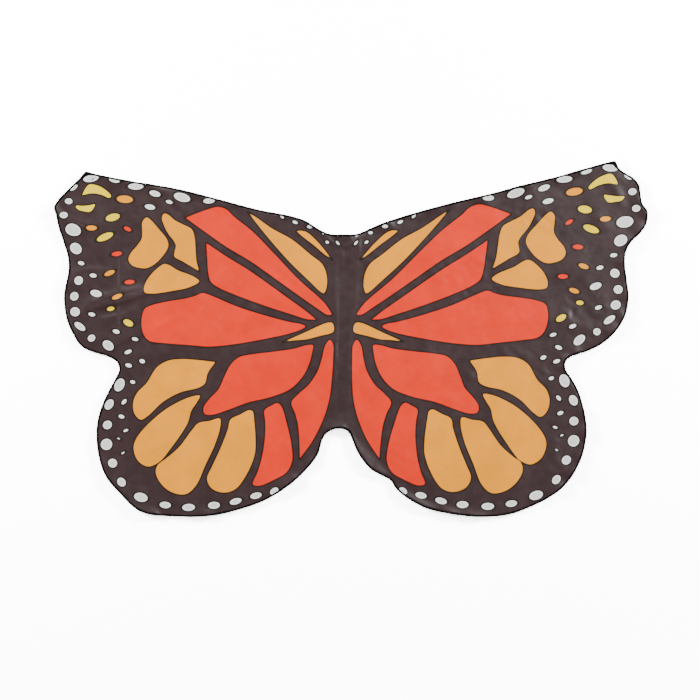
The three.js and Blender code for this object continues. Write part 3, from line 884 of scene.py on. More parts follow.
class NodeKit:
    """Builds one material's nodes with short calls."""

    def __init__(self, name: str) -> None:
        """Makes an empty material with its shader and output.

        Args:
            name: The material's name.
        """
        self.material = bpy.data.materials.new(name)
        self.material.use_nodes = True
        self.tree = self.material.node_tree
        self.tree.nodes.clear()
        output = self.tree.nodes.new("ShaderNodeOutputMaterial")
        self.shader = self.tree.nodes.new("ShaderNodeBsdfPrincipled")
        self.link(self.shader.outputs["BSDF"], output.inputs["Surface"])

    def link(self, source: bpy.types.NodeSocket, target: bpy.types.NodeSocket) -> None:
        """Joins two sockets."""
        self.tree.links.new(source, target)

    def put(self, value: object, socket: bpy.types.NodeSocket) -> None:
        """Links a socket to an input, or sets the input to a number, vector or colour.

        Args:
            value: The socket or the value.
            socket: The input.
        """
        if isinstance(value, bpy.types.NodeSocket):
            self.link(value, socket)
        elif socket.type == "RGBA":
            socket.default_value = (*value, 1.0)
        else:
            socket.default_value = value

    def node(self, kind: str, inputs: dict | None = None, **settings: object) -> bpy.types.Node:
        """Adds a node, sets its properties, and links or sets its inputs.

        Args:
            kind: The node's type, without the ShaderNode prefix.
            inputs: Sockets or values for its inputs, by name or number.
            **settings: The node's own properties.

        Returns:
            The node.
        """
        made = self.tree.nodes.new(f"ShaderNode{kind}")
        for key, value in settings.items():
            setattr(made, key, value)
        for key, value in (inputs or {}).items():
            self.put(value, made.inputs[key])
        return made

    def noise(self, vector: bpy.types.NodeSocket, scale: float, detail: float = 3.0) -> bpy.types.NodeSocket:
        """Noise from 0 to 1 with that many cycles in a metre."""
        return self.node("TexNoise", {"Vector": vector, "Scale": scale, "Detail": detail}).outputs["Fac"]

    def ramp(
        self, value: bpy.types.NodeSocket, low: float, high: float, to_low: float = 0.0, to_high: float = 1.0
    ) -> bpy.types.NodeSocket:
        """Maps a value between two limits, smoothly and clamped.

        Args:
            value: The value.
            low: The value that gives the first result.
            high: The value that gives the last one.
            to_low: The first result.
            to_high: The last result.

        Returns:
            The result.
        """
        limits = {"Value": value, "From Min": low, "From Max": high, "To Min": to_low, "To Max": to_high}
        made = self.node("MapRange", limits, interpolation_type="SMOOTHSTEP", clamp=True)
        return made.outputs["Result"]

    def stretched(self, vector: bpy.types.NodeSocket, share: float) -> bpy.types.NodeSocket:
        """The same coordinates with v scaled down, which draws out along v what is laid on them."""
        return self.node("Mapping", {"Vector": vector, "Scale": (1.0, share, 1.0)}).outputs["Vector"]

    def mix(self, factor: object, first: object, second: object) -> bpy.types.NodeSocket:
        """Mixes two colours.

        Args:
            factor: The second colour's share.
            first: The first colour.
            second: The second colour.

        Returns:
            The mixture.
        """
        made = self.node("Mix", data_type="RGBA")
        for index, value in ((0, factor), (6, first), (7, second)):
            self.put(value, made.inputs[index])
        return made.outputs[2]

    def math(self, operation: str, *values: object) -> bpy.types.NodeSocket:
        """One arithmetic step."""
        return self.node("Math", dict(enumerate(values)), operation=operation).outputs[0]

    def bump(
        self, height: bpy.types.NodeSocket, strength: float, distance: float, **under: bpy.types.NodeSocket
    ) -> bpy.types.NodeSocket:
        """Turns a height into a bent normal, over another one given as Normal.

        Args:
            height: The height, from 0 to 1.
            strength: How much of it counts.
            distance: What 1 stands for, in metres.
            **under: The normal under it.

        Returns:
            The normal.
        """
        inputs = {"Height": height, "Strength": strength, "Distance": distance, **under}
        return self.node("Bump", inputs).outputs["Normal"]

    def coordinates(self) -> bpy.types.NodeSocket:
        """Object coordinates."""
        return self.node("TexCoord").outputs["Object"]

    def map(self, name: str) -> bpy.types.NodeSocket:
        """A piece's own map."""
        return self.node("UVMap", uv_map=name).outputs["UV"]

    def finish(self, **inputs: object) -> bpy.types.Material:
        """Sets or links the shader's inputs, spelled with underscores, and returns the material.

        Args:
            **inputs: Sockets or values.

        Returns:
            The finished material.
        """
        for key, value in inputs.items():
            self.put(value, self.shader.inputs[key.replace("_", " ")])
        return self.material


@dataclass(frozen=True)
class PrintedSatin:
    """Polyester satin, printed on its face; the reverse shows the print paler and duller.

    Attributes:
        name: The material's name.
        reverse: Whether this is the reverse side.
        ground: The brown-black ground.
        mottle: How much lighter the ground is in its blotches.
        contour: The darker line that the print keeps round each cell.
        contour_width: Its width in millimetres.
        soak: Half the width over which the line fades out.
        inking: How strong an ink is where it is thinnest and thickest.
        faded: The grey that the reverse side is mixed with, and its share.
        roughness: How dull the side is.
        shine: Its specular level.
        thread: Threads in a metre, as the weave's frequency.
    """

    name: str = "printed_satin_face"
    reverse: bool = False
    ground: Colour = (0.031, 0.0152, 0.0162)
    mottle: float = 1.22
    contour: Colour = (0.010, 0.006, 0.003)
    contour_width: float = 2.4
    soak: float = 0.7
    inking: tuple[float, float] = (0.9, 1.03)
    faded: tuple[Colour, float] = ((0.16, 0.13, 0.13), 0.14)
    roughness: float = 0.38
    shine: float = 0.34
    thread: float = 2400.0

    def make(self) -> bpy.types.Material:
        """Lays the print, and over it the crush and the weave as bent normals.

        Returns:
            The material.
        """
        kit = NodeKit(self.name)
        place, weave_map = kit.coordinates(), kit.map("cloth")
        blotch, fleck = kit.noise(place, 16.0, 4.0), kit.noise(place, 140.0, 3.0)
        colour = self.print_on(kit, blotch, fleck)
        if self.reverse:
            grey, share = self.faded
            colour = kit.mix(share, colour, grey)
        # Satin: long floats along one thread, short ties across it.
        floats = kit.noise(kit.stretched(weave_map, 0.22), self.thread, 1.0)
        bands = {"Vector": weave_map, "Scale": self.thread / 20, "Distortion": 0.6}
        ties = kit.node("TexWave", bands, wave_type="BANDS", bands_direction="DIAGONAL").outputs["Fac"]
        crush = kit.noise(place, 55.0, 4.0)
        normal = kit.bump(crush, 0.15, 0.004)
        normal = kit.bump(kit.math("MULTIPLY_ADD", ties, 0.4, floats), 0.16, 0.00012, Normal=normal)
        dull = kit.math("MULTIPLY_ADD", fleck, 0.3, crush)
        rough = kit.ramp(dull, 0.35, 0.95, self.roughness - 0.05, self.roughness + 0.09)
        return kit.finish(Base_Color=colour, Roughness=rough, Normal=normal, Specular_IOR_Level=self.shine)

    def print_on(
        self, kit: NodeKit, blotch: bpy.types.NodeSocket, fleck: bpy.types.NodeSocket
    ) -> bpy.types.NodeSocket:
        """Lays the contour line and each ink over the ground, by their depths.

        Args:
            kit: The material's nodes.
            blotch: Broad noise, for uneven ink.
            fleck: Fine noise, for the contour's ragged edge.

        Returns:
            The colour.
        """
        depth = {ink: kit.node("Attribute", attribute_name=ink.name.lower()).outputs["Fac"] for ink in Ink}
        nearest = depth[Ink.RED]
        for ink in (Ink.AMBER, Ink.YELLOW, Ink.WHITE):
            nearest = kit.math("MAXIMUM", nearest, depth[ink])
        bled = kit.math("ADD", nearest, kit.math("MULTIPLY_ADD", fleck, 0.5, -0.25))
        mottled = tuple(c * self.mottle for c in self.ground)
        colour = kit.mix(kit.ramp(blotch, 0.35, 0.7), self.ground, mottled)
        line = kit.ramp(bled, -self.contour_width - self.soak, -self.contour_width + self.soak)
        colour = kit.mix(line, colour, self.contour)
        for ink in Ink:
            thin, thick = (tuple(min(1.0, c * strength) for c in ink.value) for strength in self.inking)
            tone = kit.mix(kit.ramp(blotch, 0.3, 0.7), thin, thick)
            if ink is Ink.WHITE:
                tone = kit.mix(kit.ramp(depth[ink], 1.3, 3.0), (1.0, 1.0, 1.0), tone)
            colour = kit.mix(kit.ramp(depth[ink], 0.0, 0.9), colour, tone)
        return colour


@dataclass(frozen=True)
class Thread:
    """Spun polyester thread: fine hairs along each strand.

    Attributes:
        name: The material's name.
        colour: The thread's black.
        worn: The paler black where it is rubbed.
        roughness: How dull it is.
        strands: Hairs in a metre.
        shows_print: Whether the white of the print shows between the stitches.
        print_white: That white, as it shows through.
        print_share: How much of it shows.
    """

    name: str = "overlock_thread"
    colour: Colour = (0.0024, 0.0018, 0.0018)
    worn: Colour = (0.0055, 0.004, 0.004)
    roughness: float = 0.75
    strands: float = 2600.0
    shows_print: bool = False
    print_white: Colour = (0.6, 0.6, 0.6)
    print_share: float = 0.4

    def make(self) -> bpy.types.Material:
        """Mixes two blacks by noise and bends the normal along the strands.

        Returns:
            The material.
        """
        kit = NodeKit(self.name)
        place, along = kit.coordinates(), kit.map("thread")
        hair = kit.noise(kit.stretched(along, 0.3), self.strands, 3.0)
        wear = kit.noise(place, 90.0, 4.0)
        worn = kit.ramp(kit.math("MULTIPLY_ADD", hair, 0.4, wear), 0.55, 1.05)
        colour = kit.mix(worn, self.colour, self.worn)
        if self.shows_print:
            whitened = kit.node("Attribute", attribute_name="whitened").outputs["Fac"]
            colour = kit.mix(kit.math("MULTIPLY", whitened, self.print_share), colour, self.print_white)
        normal = kit.bump(hair, 0.4, 0.0002)
        rough = kit.ramp(wear, 0.3, 0.7, self.roughness - 0.06, self.roughness + 0.1)
        return kit.finish(Base_Color=colour, Roughness=rough, Normal=normal, Specular_IOR_Level=0.06)


@dataclass(frozen=True)
class Elastic:
    """Flat braided elastic: rubber cords under a braid of slanting polyester yarns.

    Attributes:
        name: The material's name.
        colour: The braid's black.
        lint: The grey of the yarns' rubbed tops.
        yarns: Yarns in a metre.
        slant: How far the yarns lean either way, in degrees.
    """

    name: str = "black_braided_elastic"
    colour: Colour = (0.010, 0.010, 0.011)
    lint: Colour = (0.05, 0.05, 0.052)
    yarns: float = 260.0
    slant: float = 38.0

    def make(self) -> bpy.types.Material:
        """Crosses two sets of slanting bands for the braid and greys the yarns' tops.

        Returns:
            The material.
        """
        kit = NodeKit(self.name)
        along = kit.map("thread")
        bands = []
        for turn in (math.radians(self.slant), -math.radians(self.slant)):
            turned = kit.node("Mapping", {"Vector": along, "Rotation": (0.0, 0.0, turn)}).outputs["Vector"]
            inputs = {"Vector": turned, "Scale": self.yarns, "Distortion": 0.4}
            bands.append(kit.node("TexWave", inputs).outputs["Fac"])
        braid = kit.math("MAXIMUM", *bands)
        fuzz = kit.noise(kit.coordinates(), 900.0, 3.0)
        rubbed = kit.ramp(kit.math("MULTIPLY", braid, fuzz), 0.35, 0.75)
        colour = kit.mix(rubbed, self.colour, self.lint)
        normal = kit.bump(fuzz, 0.15, 0.0001, Normal=kit.bump(braid, 0.5, 0.00025))
        rough = kit.ramp(fuzz, 0.3, 0.7, 0.66, 0.82)
        return kit.finish(Base_Color=colour, Roughness=rough, Normal=normal, Sheen_Weight=0.2)


@dataclass(frozen=True)
class LabelRibbon:
    """Blank white satin ribbon.

    Attributes:
        name: The material's name.
        colour: The ribbon's white.
        shade: The yellower white of its blotches.
    """

    name: str = "white_label_ribbon"
    colour: Colour = (0.80, 0.79, 0.76)
    shade: Colour = (0.70, 0.69, 0.66)

    def make(self) -> bpy.types.Material:
        """A fine weave with a little yellowing in blotches.

        Returns:
            The material.
        """
        kit = NodeKit(self.name)
        weave = kit.noise(kit.stretched(kit.map("thread"), 0.2), 2200.0, 2.0)
        blotch = kit.noise(kit.coordinates(), 60.0, 3.0)
        colour = kit.mix(kit.ramp(blotch, 0.35, 0.7), self.shade, self.colour)
        rough, normal = kit.ramp(blotch, 0.3, 0.7, 0.42, 0.55), kit.bump(weave, 0.2, 0.0001)
        return kit.finish(Base_Color=colour, Roughness=rough, Normal=normal, Sheen_Weight=0.1)


@dataclass(frozen=True)
class PaleFloor:
    """Seamless white paper.

    Attributes:
        name: The material's name.
        colour: The paper's white.
        tooth: How much paler its tooth is.
    """

    name: str = "white_paper"
    colour: Colour = (0.93, 0.93, 0.93)
    tooth: float = 0.01

    def make(self) -> bpy.types.Material:
        """Nearly even white with a faint tooth.

        Returns:
            The material.
        """
        kit = NodeKit(self.name)
        tooth = kit.ramp(kit.noise(kit.coordinates(), 40.0, 4.0), 0.3, 0.7)
        colour = kit.mix(tooth, self.colour, tuple(c + self.tooth for c in self.colour))
        return kit.finish(Base_Color=colour, Roughness=0.9, Specular_IOR_Level=0.1)


SATIN_FACE = PrintedSatin()
SATIN_REVERSE = PrintedSatin(name="printed_satin_reverse", reverse=True, roughness=0.6, shine=0.2)
HEM_THREAD = Thread(shows_print=True)
TACK_THREAD = Thread(name="bar_tack_thread", colour=(0.02, 0.016, 0.016), worn=(0.06, 0.05, 0.05))
BLACK_ELASTIC = Elastic()
LABEL = LabelRibbon()
PAPER = PaleFloor()


# ---- the object's pieces -------------------------------------------------------------------------


def corners_of(node: str) -> np.ndarray:
    """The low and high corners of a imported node's box, in millimetres."""
    return np.array(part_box(node)) / MM


def middle_of(node: str) -> np.ndarray:
    """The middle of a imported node's box, in millimetres."""
    return corners_of(node).mean(axis=0)


def joint_at(name: str) -> np.ndarray:
    """Where a packed joint lies across and up, in millimetres."""
    joint = next(j for j in frame["joints"] if j["name"] == name)
    return np.array(joint["pos_m"][:2]) / MM


@dataclass
class WingSide:
    """One half of the wings: the satin from the body's centre line outwards, and its rolled hem.

    Attributes:
        side: Which wing.
        cell: Side of the cloth's cells.
        cloth_thickness: Thickness of the drawn cloth.
        hem_inset: From the outline to the hem's middle line.
        hem_width: Half the hem's width.
        hem_height: Half its height.
        hem_clearance: The least space between the hem and the floor.
        hem_sides: Points round the hem's profile.
        swell: How much a stitch swells the hem, and how much it varies along the edge.
        uneven: Waves of that variation.
        stitch: Length of one overlock stitch.
        hem_step: Distance between the hem's own rings.
        tip_pleat: How much wider the hem is at the tip's corner, where it is folded over itself.
        pleat_reach: How far from the corner the hem is wider.
        show_depth: How deep an edge spot has to be at the hem's middle to start whitening the hem.
        show_band: How much deeper it has to be to whiten it fully.
        bend_reach: Not used.
        overlap: How far the two halves of the cloth run into each other at the centre line.
        wing: The name of this half's wing, as the imported nodes spell it.
        cut: The flat width, length and area of the satin, in metres and square metres.
    """

    side: Side
    cell: float = 2.62
    cloth_thickness: float = 0.32
    hem_inset: float = 1.6
    hem_width: float = 2.0
    hem_height: float = 1.15
    hem_clearance: float = 0.25
    hem_sides: int = 12
    swell: tuple[float, float] = (0.1, 0.06)
    uneven: Ripple = Ripple(60, seed=31)
    stitch: float = 1.7
    hem_step: float = 0.42
    tip_pleat: float = 0.9
    pleat_reach: float = 11.0
    show_depth: float = 3.0
    show_band: float = 1.5
    bend_reach: float = 20.0
    overlap: float = 0.1
    wing: str = field(init=False)
    cut: tuple[float, float, float] = field(init=False)

    def __post_init__(self) -> None:
        """Names this half's wing, as the imported nodes spell it."""
        self.wing = f"{self.side.word}_wing"

    def beyond_centre(self, x: np.ndarray, y: np.ndarray) -> np.ndarray:
        """Distance outwards from the body's leaning centre line."""
        return self.side.value * (x - PATTERN.centre_of(y))

    def lattice(self) -> tuple[np.ndarray, np.ndarray]:
        """Covers this half with even cells, and moves the outermost points onto the edge.

        The rows are level and start just past the body's centre line, where the two halves meet.

        Returns:
            The points as rows of x, y, and the cells as rows of four point numbers, counterclockwise.
        """
        ring = EDGE.inset(self.hem_inset)
        low, high = ring[:, 1].min() - self.cell, ring[:, 1].max() + self.cell
        y = np.arange(low, high, self.cell)
        furthest = np.abs(ring[:, 0]).max() + 3 * self.cell + PATTERN.origin[0]
        reach = np.concatenate([[-self.overlap], np.arange(0, furthest, self.cell)])
        rows, columns = len(y), len(reach)
        x = PATTERN.centre_of(y)[:, None] + self.side.value * reach
        points = np.stack([x, np.broadcast_to(y[:, None], x.shape)], axis=-1).reshape(-1, 2)
        cells = grid_faces(rows, columns)
        middle = points[cells].mean(axis=1)
        kept = np.concatenate([is_inside(part, ring) for part in np.array_split(middle, SLICES)])
        cells = cells[kept]
        used = np.bincount(cells.ravel(), minlength=len(points))
        on_centre = np.tile(reach < 0, rows)
        outermost = (used > 0) & (used < 4) & ~on_centre
        points[outermost] = nearest_on(points[outermost], close(ring))
        column = np.flatnonzero(on_centre & (used > 0))
        for end, step in ((column[0], -1), (column[-1], 1)):
            points[end] = self.centre_crossing(ring, step) - [self.side.value * self.overlap, 0]
        numbers = np.cumsum(used > 0) - 1
        cells = numbers[cells]
        return points[used > 0], cells if self.side is Side.RIGHT else cells[:, ::-1]

    def centre_crossing(self, ring: np.ndarray, step: int) -> np.ndarray:
        """Where the centre line meets the ring: at the neck for a step of 1, at the notch for -1.

        Args:
            ring: A closed ring's points.
            step: Which end of the centre line.

        Returns:
            The place as x, y.
        """
        out = self.beyond_centre(ring[:, 0], ring[:, 1])
        after = np.roll(out, -1)
        share = out / np.where(out == after, 1, out - after)
        meets = ring + (np.roll(ring, -1, axis=0) - ring) * share[:, None]
        meets = meets[(out > 0) != (after > 0)]
        return meets[np.argmax(step * meets[:, 1])]

    def satin(self) -> bpy.types.Object:
        """The printed cloth: a face, a reverse side and a rim between them, with the print as ink depths.

        Returns:
            The piece.
        """
        flat, cells = self.lattice()
        x, y = flat.T
        z = DRAPE.height(x, y, EDGE.gap(x, y))
        points, faces, parts = shell(flat, z, cells, self.cloth_thickness)
        piece = build_mesh(f"{self.side.word}_printed_satin", points, faces, parts < 2, parts > 0)
        across, up = PATTERN.on_print(x, y, self.side)
        for ink, depth in PATTERN.inks(across, up).items():
            add_attribute(piece, ink.name.lower(), np.tile(depth, 2))
        add_uv(piece, "cloth", np.tile(np.stack([across, up], axis=1), (2, 1)))
        wear(piece, SATIN_FACE, SATIN_REVERSE)
        self.fold(piece)
        declare(piece, "printed_satin", f"{self.wing}_cloth", "back_cloth")
        corners = points[cells]
        diagonals = np.cross(corners[:, 2] - corners[:, 0], corners[:, 3] - corners[:, 1])
        area = np.linalg.norm(diagonals, axis=1).sum() / 2 * MM**2
        width, length = np.ptp(flat, axis=0) * MM
        self.cut = (float(width), float(length), float(area))
        return piece

    def hem(self) -> bpy.types.Object:
        """The rolled edge: an oval profile along the edge whose radius swells with each slanting stitch.

        Returns:
            The piece.
        """
        ring = EDGE.inset(self.hem_inset)
        out = self.beyond_centre(ring[:, 0], ring[:, 1])
        kept = np.flatnonzero(out > 0)
        breaks = np.flatnonzero(np.diff(kept) > 1)
        order = np.concatenate([kept[breaks[0] + 1:], kept[:breaks[0] + 1]]) if len(breaks) else kept
        ends = [self.centre_crossing(ring, step) for step in (-self.side.value, self.side.value)]
        line = respace(np.vstack([ends[0], ring[order], ends[1]]), self.hem_step)
        x, y = line.T
        z = DRAPE.height(x, y, np.full(len(line), self.hem_inset))
        path = np.column_stack([line, np.maximum(z, self.hem_height + self.hem_clearance)])
        along = np.arange(len(path)) * self.hem_step
        angle = circle(self.hem_sides)
        phase = along[:, None] / self.stitch + angle / (2 * np.pi)
        uneven = self.uneven.at(along, 0 * along)[:, None]
        swell = 1 + self.swell[0] * np.abs(np.sin(np.pi * phase)) + self.swell[1] * uneven
        tip = ring[np.where(out > 0, ring[:, 1], -np.inf).argmax()]
        from_tip = np.linalg.norm(line - tip, axis=1)[:, None]
        pleat = 1 + self.tip_pleat * np.exp(-((from_tip / self.pleat_reach) ** 2))
        oval = [self.hem_width * np.cos(angle) * swell * pleat, self.hem_height * np.sin(angle) * swell]
        name = f"{self.side.word}_rolled_hem"
        piece = sweep(name, path, np.stack(oval, axis=-1), angle * self.hem_width, along)
        white = PATTERN.inks(*PATTERN.on_print(x, y, self.side))[Ink.WHITE]
        whitened = np.clip((white - self.show_depth) / self.show_band, 0, 1)
        add_attribute(piece, "whitened", np.repeat(whitened, self.hem_sides))
        wear(piece, HEM_THREAD)
        self.fold(piece)
        declare(piece, "hem_thread", f"{self.wing}_hem", "neck_hem", "tail_hem")
        return piece

    def fold(self, piece: bpy.types.Object) -> None:
        """Bakes a piece's placement into its points; the piece is not bent.

        Args:
            piece: The piece.
        """
        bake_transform(piece)

    def build(self) -> None:
        satin, hem = self.satin(), self.hem()


@dataclass
class ElasticLoop:
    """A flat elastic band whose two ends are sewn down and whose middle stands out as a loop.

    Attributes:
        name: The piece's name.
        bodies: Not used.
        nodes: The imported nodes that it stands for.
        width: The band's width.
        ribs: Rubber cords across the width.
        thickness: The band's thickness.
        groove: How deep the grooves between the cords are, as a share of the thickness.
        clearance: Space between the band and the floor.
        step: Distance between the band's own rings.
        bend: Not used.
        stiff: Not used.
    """

    name: str
    bodies: tuple[str, str]
    nodes: tuple[str, ...]
    width: float
    ribs: int
    thickness: float = 0.8
    groove: float = 0.2
    clearance: float = 0.04
    step: float = 1.0
    bend: float = 6.0
    stiff: float = 1.0

    def profile(self) -> np.ndarray:
        """A flat band with rounded edges: ribs on both faces as a row of shallow arches.

        Returns:
            Rows of two numbers: across the band, and out of it.
        """
        across = np.linspace(-1, 1, 8 * self.ribs + 1)
        body = np.sqrt(np.clip(1 - np.abs(across) ** 8, 0, 1))
        cords = np.abs(np.cos(np.pi * self.ribs * (across + 1) / 2 + np.pi / 2))
        arch = 1 - self.groove + self.groove * cords
        upper = np.stack([across * self.width / 2, body * arch * self.thickness / 2], axis=1)
        lower = upper[::-1] * [1, -1]
        return np.vstack([lower, upper[1:-1]])[::-1]

    def lay(self, line: np.ndarray, root: np.ndarray, outward: np.ndarray) -> None:
        """Makes the band along a level line; the band is not bent.

        Args:
            line: The band's middle line, as rows of x, y.
            root: Where the loop starts; not used.
            outward: The direction in which it stands out from there; not used.
        """
        line = respace(line, self.step)
        path = np.column_stack([line, np.full(len(line), self.thickness / 2 + self.clearance)])
        profile = self.profile()
        piece = sweep(self.name, path, profile, profile[:, 0], np.arange(len(path)) * self.step)
        wear(piece, BLACK_ELASTIC)
        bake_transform(piece)
        declare(piece, "black_elastic", *self.nodes)


@dataclass
class ShoulderStrap(ElasticLoop):
    """One shoulder strap: a half oval between its top and bottom sewn ends.

    Attributes:
        bulge: How far the half oval stands out.
        sewn_length: Length of each sewn end.
        free: How far the half oval starts beyond the sewn ends.
    """

    bulge: float = 96.0
    sewn_length: float = 14.0
    free: float = 0.3

    @classmethod
    def on(cls, side: Side) -> "ShoulderStrap":
        """The strap of one side, with its packed names.

        Args:
            side: The side.

        Returns:
            The strap.
        """
        word = side.word
        nodes = (f"{word}_shoulder_strap", f"{word}_strap_top_end", f"{word}_strap_bottom_end")
        return cls(f"{word}_shoulder_elastic", ("back", f"{word}_strap"), nodes, width=10.0, ribs=8)

    def build(self) -> None:
        """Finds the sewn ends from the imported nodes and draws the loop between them."""
        loop, top, bottom = (middle_of(node)[:2] for node in self.nodes)
        along = (top - bottom) / np.linalg.norm(top - bottom)
        outward = np.array([along[1], -along[0]])
        if outward @ (loop - top) < 0:
            outward = -outward
        reach = outward * self.sewn_length / 2
        first, last = (end + reach + outward * self.free for end in (top, bottom))
        angle = np.linspace(0, np.pi, 120)[:, None]
        middle, radius = (first + last) / 2, np.linalg.norm(first - last) / 2
        oval = middle + along * radius * np.cos(angle) + outward * self.bulge * np.sin(angle)
        self.lay(np.vstack([top - reach, oval, bottom - reach]), first, outward)


@dataclass
class FingerLoop(ElasticLoop):
    """One finger loop: a drop-shaped loop of narrow elastic under a wing tip.

    Attributes:
        hinge: The joint that the loop swings on.
        reach: How far the loop stands out.
        end_spread: Half the distance between its two ends.
        belly_spread: How much wider it is in the middle.
        tab_length: Length of the sewn ends.
    """

    hinge: str = ""
    reach: float = 34.0
    end_spread: float = 3.0
    belly_spread: float = 17.0
    tab_length: float = 8.0

    @classmethod
    def on(cls, side: Side) -> "FingerLoop":
        """The loop of one side, with its packed names.

        Args:
            side: The side.

        Returns:
            The loop.
        """
        word = side.word
        nodes = (f"{word}_finger_loop", f"{word}_finger_loop_tab")
        bodies, hinge = (f"{word}_wing", f"{word}_finger"), f"{word}_finger_loop_swing"
        name = f"{word}_finger_elastic"
        return cls(name, bodies, nodes, width=4.0, ribs=4, step=0.6, bend=4.0, hinge=hinge)

    def build(self) -> None:
        """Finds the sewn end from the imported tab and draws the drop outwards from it."""
        root, tab = joint_at(self.hinge), middle_of(self.nodes[1])[:2]
        outward = (root - tab) / np.linalg.norm(root - tab)
        across = np.array([-outward[1], outward[0]])
        angle = np.linspace(0, np.pi, 90)[:, None]
        spread = np.cos(angle) * (self.end_spread + self.belly_spread * np.sin(angle))
        drop = root + outward * self.reach * np.sin(angle) + across * spread
        back = outward * self.tab_length
        self.lay(np.vstack([drop[0] - back, drop, drop[-1] - back]), root, outward)


@dataclass
class BarTack:
    """A bar tack: one thread laid to and fro over the cloth, its turns dipping into it.

    Attributes:
        node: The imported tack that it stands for.
        body: The body that it rides on.
        length: Length of the bar.
        width: Its width.
        passes: How many times the thread crosses.
        thread: Half the thread's thickness.
        crown: How high the thread arches between its turns.
        dip: How far the turns sink.
        steps: Points of the thread in one crossing.
        sides: Points round the thread.
    """

    node: str
    body: str
    length: float = 8.0
    width: float = 1.9
    passes: int = 22
    thread: float = 0.2
    crown: float = 0.42
    dip: float = 0.1
    steps: int = 8
    sides: int = 8

    def build(self) -> None:
        """Lays the zigzag along the bar.

        Across the bar the thread follows a triangle wave from -1 to 1. Its height over the cloth is the
        thread's own half thickness + crown * (1 - wave ** 6) - dip.
        """
        low, high = corners_of(self.node)[:, :2]
        slant = self.slant(high - low)
        t = np.linspace(0, self.passes, self.passes * self.steps + 1)
        sway = 2 * np.abs((t % 2) - 1) - 1
        u, v = (t / self.passes - 0.5) * self.length, sway * self.width / 2
        along, across = np.array([[math.cos(slant), math.sin(slant)], [-math.sin(slant), math.cos(slant)]])
        x, y = ((low + high) / 2 + u[:, None] * along + v[:, None] * across).T
        cloth = DRAPE.height(x, y, EDGE.gap(x, y))
        path = np.column_stack([x, y, cloth + self.thread + self.crown * (1 - sway**6) - self.dip])
        angle = circle(self.sides)
        profile = self.thread * np.stack([np.cos(angle), np.sin(angle)], axis=1)
        piece = sweep(f"{self.node}_thread", path, profile, angle * self.thread, t * self.width)
        wear(piece, TACK_THREAD)
        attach(piece, self.body)
        declare(piece, "tack_thread", self.node)

    def slant(self, span: np.ndarray) -> float:
        """The bar's direction: at right angles to its elastic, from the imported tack's own box."""
        sign = -1.0 if "left_strap" in self.node or "right_finger" in self.node else 1.0
        return sign * math.atan2(span[1], span[0])


@dataclass
class CareLabel:
    """A blank ribbon label sewn behind the neck, lying under the cloth.

    Attributes:
        columns: Points across the label.
        rows: Points along it.
        thickness: The ribbon's thickness.
        rest: The height of its middle above the floor.
    """

    columns: int = 24
    rows: int = 40
    thickness: float = 0.16
    rest: float = 0.32

    def build(self) -> None:
        """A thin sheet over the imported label's place, a little wavy."""
        low, high = corners_of("care_label")[:, :2]
        across, up = np.linspace(low[0], high[0], self.columns), np.linspace(low[1], high[1], self.rows)
        flat = np.stack(np.meshgrid(across, up), axis=-1).reshape(-1, 2)
        x, y = flat.T
        z = self.rest + 0.1 * np.sin((y - low[1]) / 7) + 0.05 * np.cos(x / 5)
        points, faces, _ = shell(flat, z, grid_faces(self.rows, self.columns), self.thickness)
        piece = build_mesh("blank_care_label", points, faces)
        add_uv(piece, "thread", np.tile(flat, (2, 1)))
        wear(piece, LABEL)
        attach(piece, "back")
        declare(piece, "label_satin", "care_label")


# ---- the studio ------------------------------------------------------------------------------------


@dataclass(frozen=True)
class Softbox:
    """A rectangular light that faces the wings.

    Attributes:
        name: The light's name.
        place: Where it hangs, in metres.
        size: Its width and height in metres.
        power: Its power in watts.
        floor_only: Whether it lights nothing but the floor.
    """

    name: str
    place: tuple[float, float, float]
    size: tuple[float, float]
    power: float
    floor_only: bool = False

    def hang(self, floor: bpy.types.Object) -> None:
        """Adds the light, turned towards the origin.

        Args:
            floor: The floor, for a light that lights nothing else.
        """
        data = bpy.data.lights.new(self.name, "AREA")
        data.shape = "RECTANGLE"
        data.size, data.size_y = self.size
        data.energy = self.power
        light = bpy.data.objects.new(self.name, data)
        light.location = self.place
        light.rotation_euler = (-light.location.normalized()).to_track_quat("-Z", "Y").to_euler()
        bpy.context.scene.collection.objects.link(light)
        if self.floor_only:
            lit = bpy.data.collections.new(f"{self.name}_lights")
            lit.objects.link(floor)
            light.light_linking.receiver_collection = lit


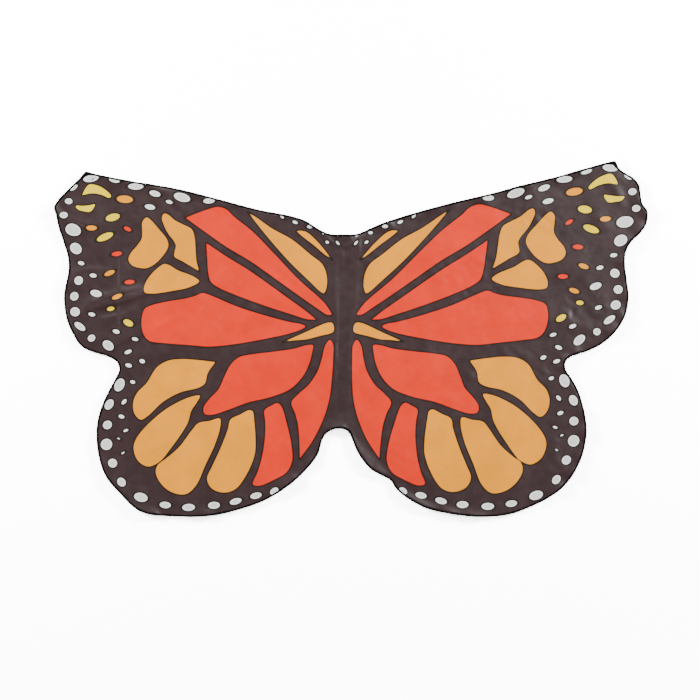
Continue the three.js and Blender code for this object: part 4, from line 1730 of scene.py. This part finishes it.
@dataclass(frozen=True)
class Studio:
    """A white floor, soft lights, and a long lens straight above the wings.

    Attributes:
        view_width: Metres across at the cloth.
        view_centre: The place that the camera hangs above.
        camera_height: How high it hangs.
        sensor: Its sensor's width in millimetres.
        floor_reach: Half the floor's width in millimetres.
        room_light: Strength of the even light in the room.
        lights: The lamps.
    """

    view_width: float = 1.400
    view_centre: tuple[float, float] = (-0.0024, -0.0212)
    camera_height: float = 5.0
    sensor: float = 36.0
    floor_reach: float = 6000.0
    room_light: float = 0.3
    lights: tuple[Softbox, ...] = (
        Softbox("key_softbox", (2.4, 1.3, 3.4), (1.3, 1.3), 165),
        Softbox("left_softbox", (-3.0, -0.5, 1.8), (1.6, 1.0), 92),
        Softbox("top_softbox", (-0.5, 2.2, 2.6), (1.8, 0.8), 72),
        Softbox("paper_overhead", (0.0, 0.0, 4.0), (3.0, 3.0), 720, floor_only=True),
        Softbox("paper_low_left", (-3.6, 1.8, 0.95), (1.2, 0.5), 3500, floor_only=True),
        Softbox("paper_low_right", (3.6, 1.8, 0.95), (1.2, 0.5), 3500, floor_only=True),
    )

    def camera(self) -> None:
        """Puts the camera above the wings."""
        data = bpy.data.cameras.new("camera")
        data.sensor_width = self.sensor
        data.lens = self.sensor * self.camera_height / self.view_width
        data.clip_end = 50.0
        camera = bpy.data.objects.new("camera", data)
        camera.location = (*self.view_centre, self.camera_height)
        bpy.context.scene.collection.objects.link(camera)
        bpy.context.scene.camera = camera

    def floor(self) -> bpy.types.Object:
        """Lays a large sheet of paper.

        Returns:
            The floor.
        """
        corners = self.floor_reach * np.array([[-1, -1, 0], [1, -1, 0], [1, 1, 0], [-1, 1, 0]])
        floor = build_mesh("floor", corners, np.array([[0, 1, 2, 3]]), smooth=False)
        wear(floor, PAPER)
        return floor

    def world(self) -> None:
        """Fills the room with even, dim white light."""
        world = bpy.data.worlds.new("room")
        world.use_nodes = True
        background = world.node_tree.nodes["Background"]
        background.inputs["Color"].default_value = (1.0, 1.0, 1.0, 1.0)
        background.inputs["Strength"].default_value = self.room_light
        bpy.context.scene.world = world

    def build(self) -> None:
        """Sets up camera, floor and lights."""
        self.camera()
        floor = self.floor()
        self.world()
        for light in self.lights:
            light.hang(floor)


def main() -> None:
    """Builds the studio, then the cloth and hem of each side, and what is sewn to them."""
    logging.basicConfig(level=logging.INFO, format="%(name)s: %(message)s")
    Studio().build()
    for side in Side:
        WingSide(side).build()
        ShoulderStrap.on(side).build()
        FingerLoop.on(side).build()
        for end in ("top", "bottom"):
            BarTack(f"{side.word}_strap_{end}_tack", "back").build()
        BarTack(f"{side.word}_finger_loop_tack", f"{side.word}_wing", length=6.5).build()
    CareLabel().build()
    BarTack("care_label_stitch", "back", length=22.0, width=1.2, passes=30).build()


if __name__ == "__main__":
    main()
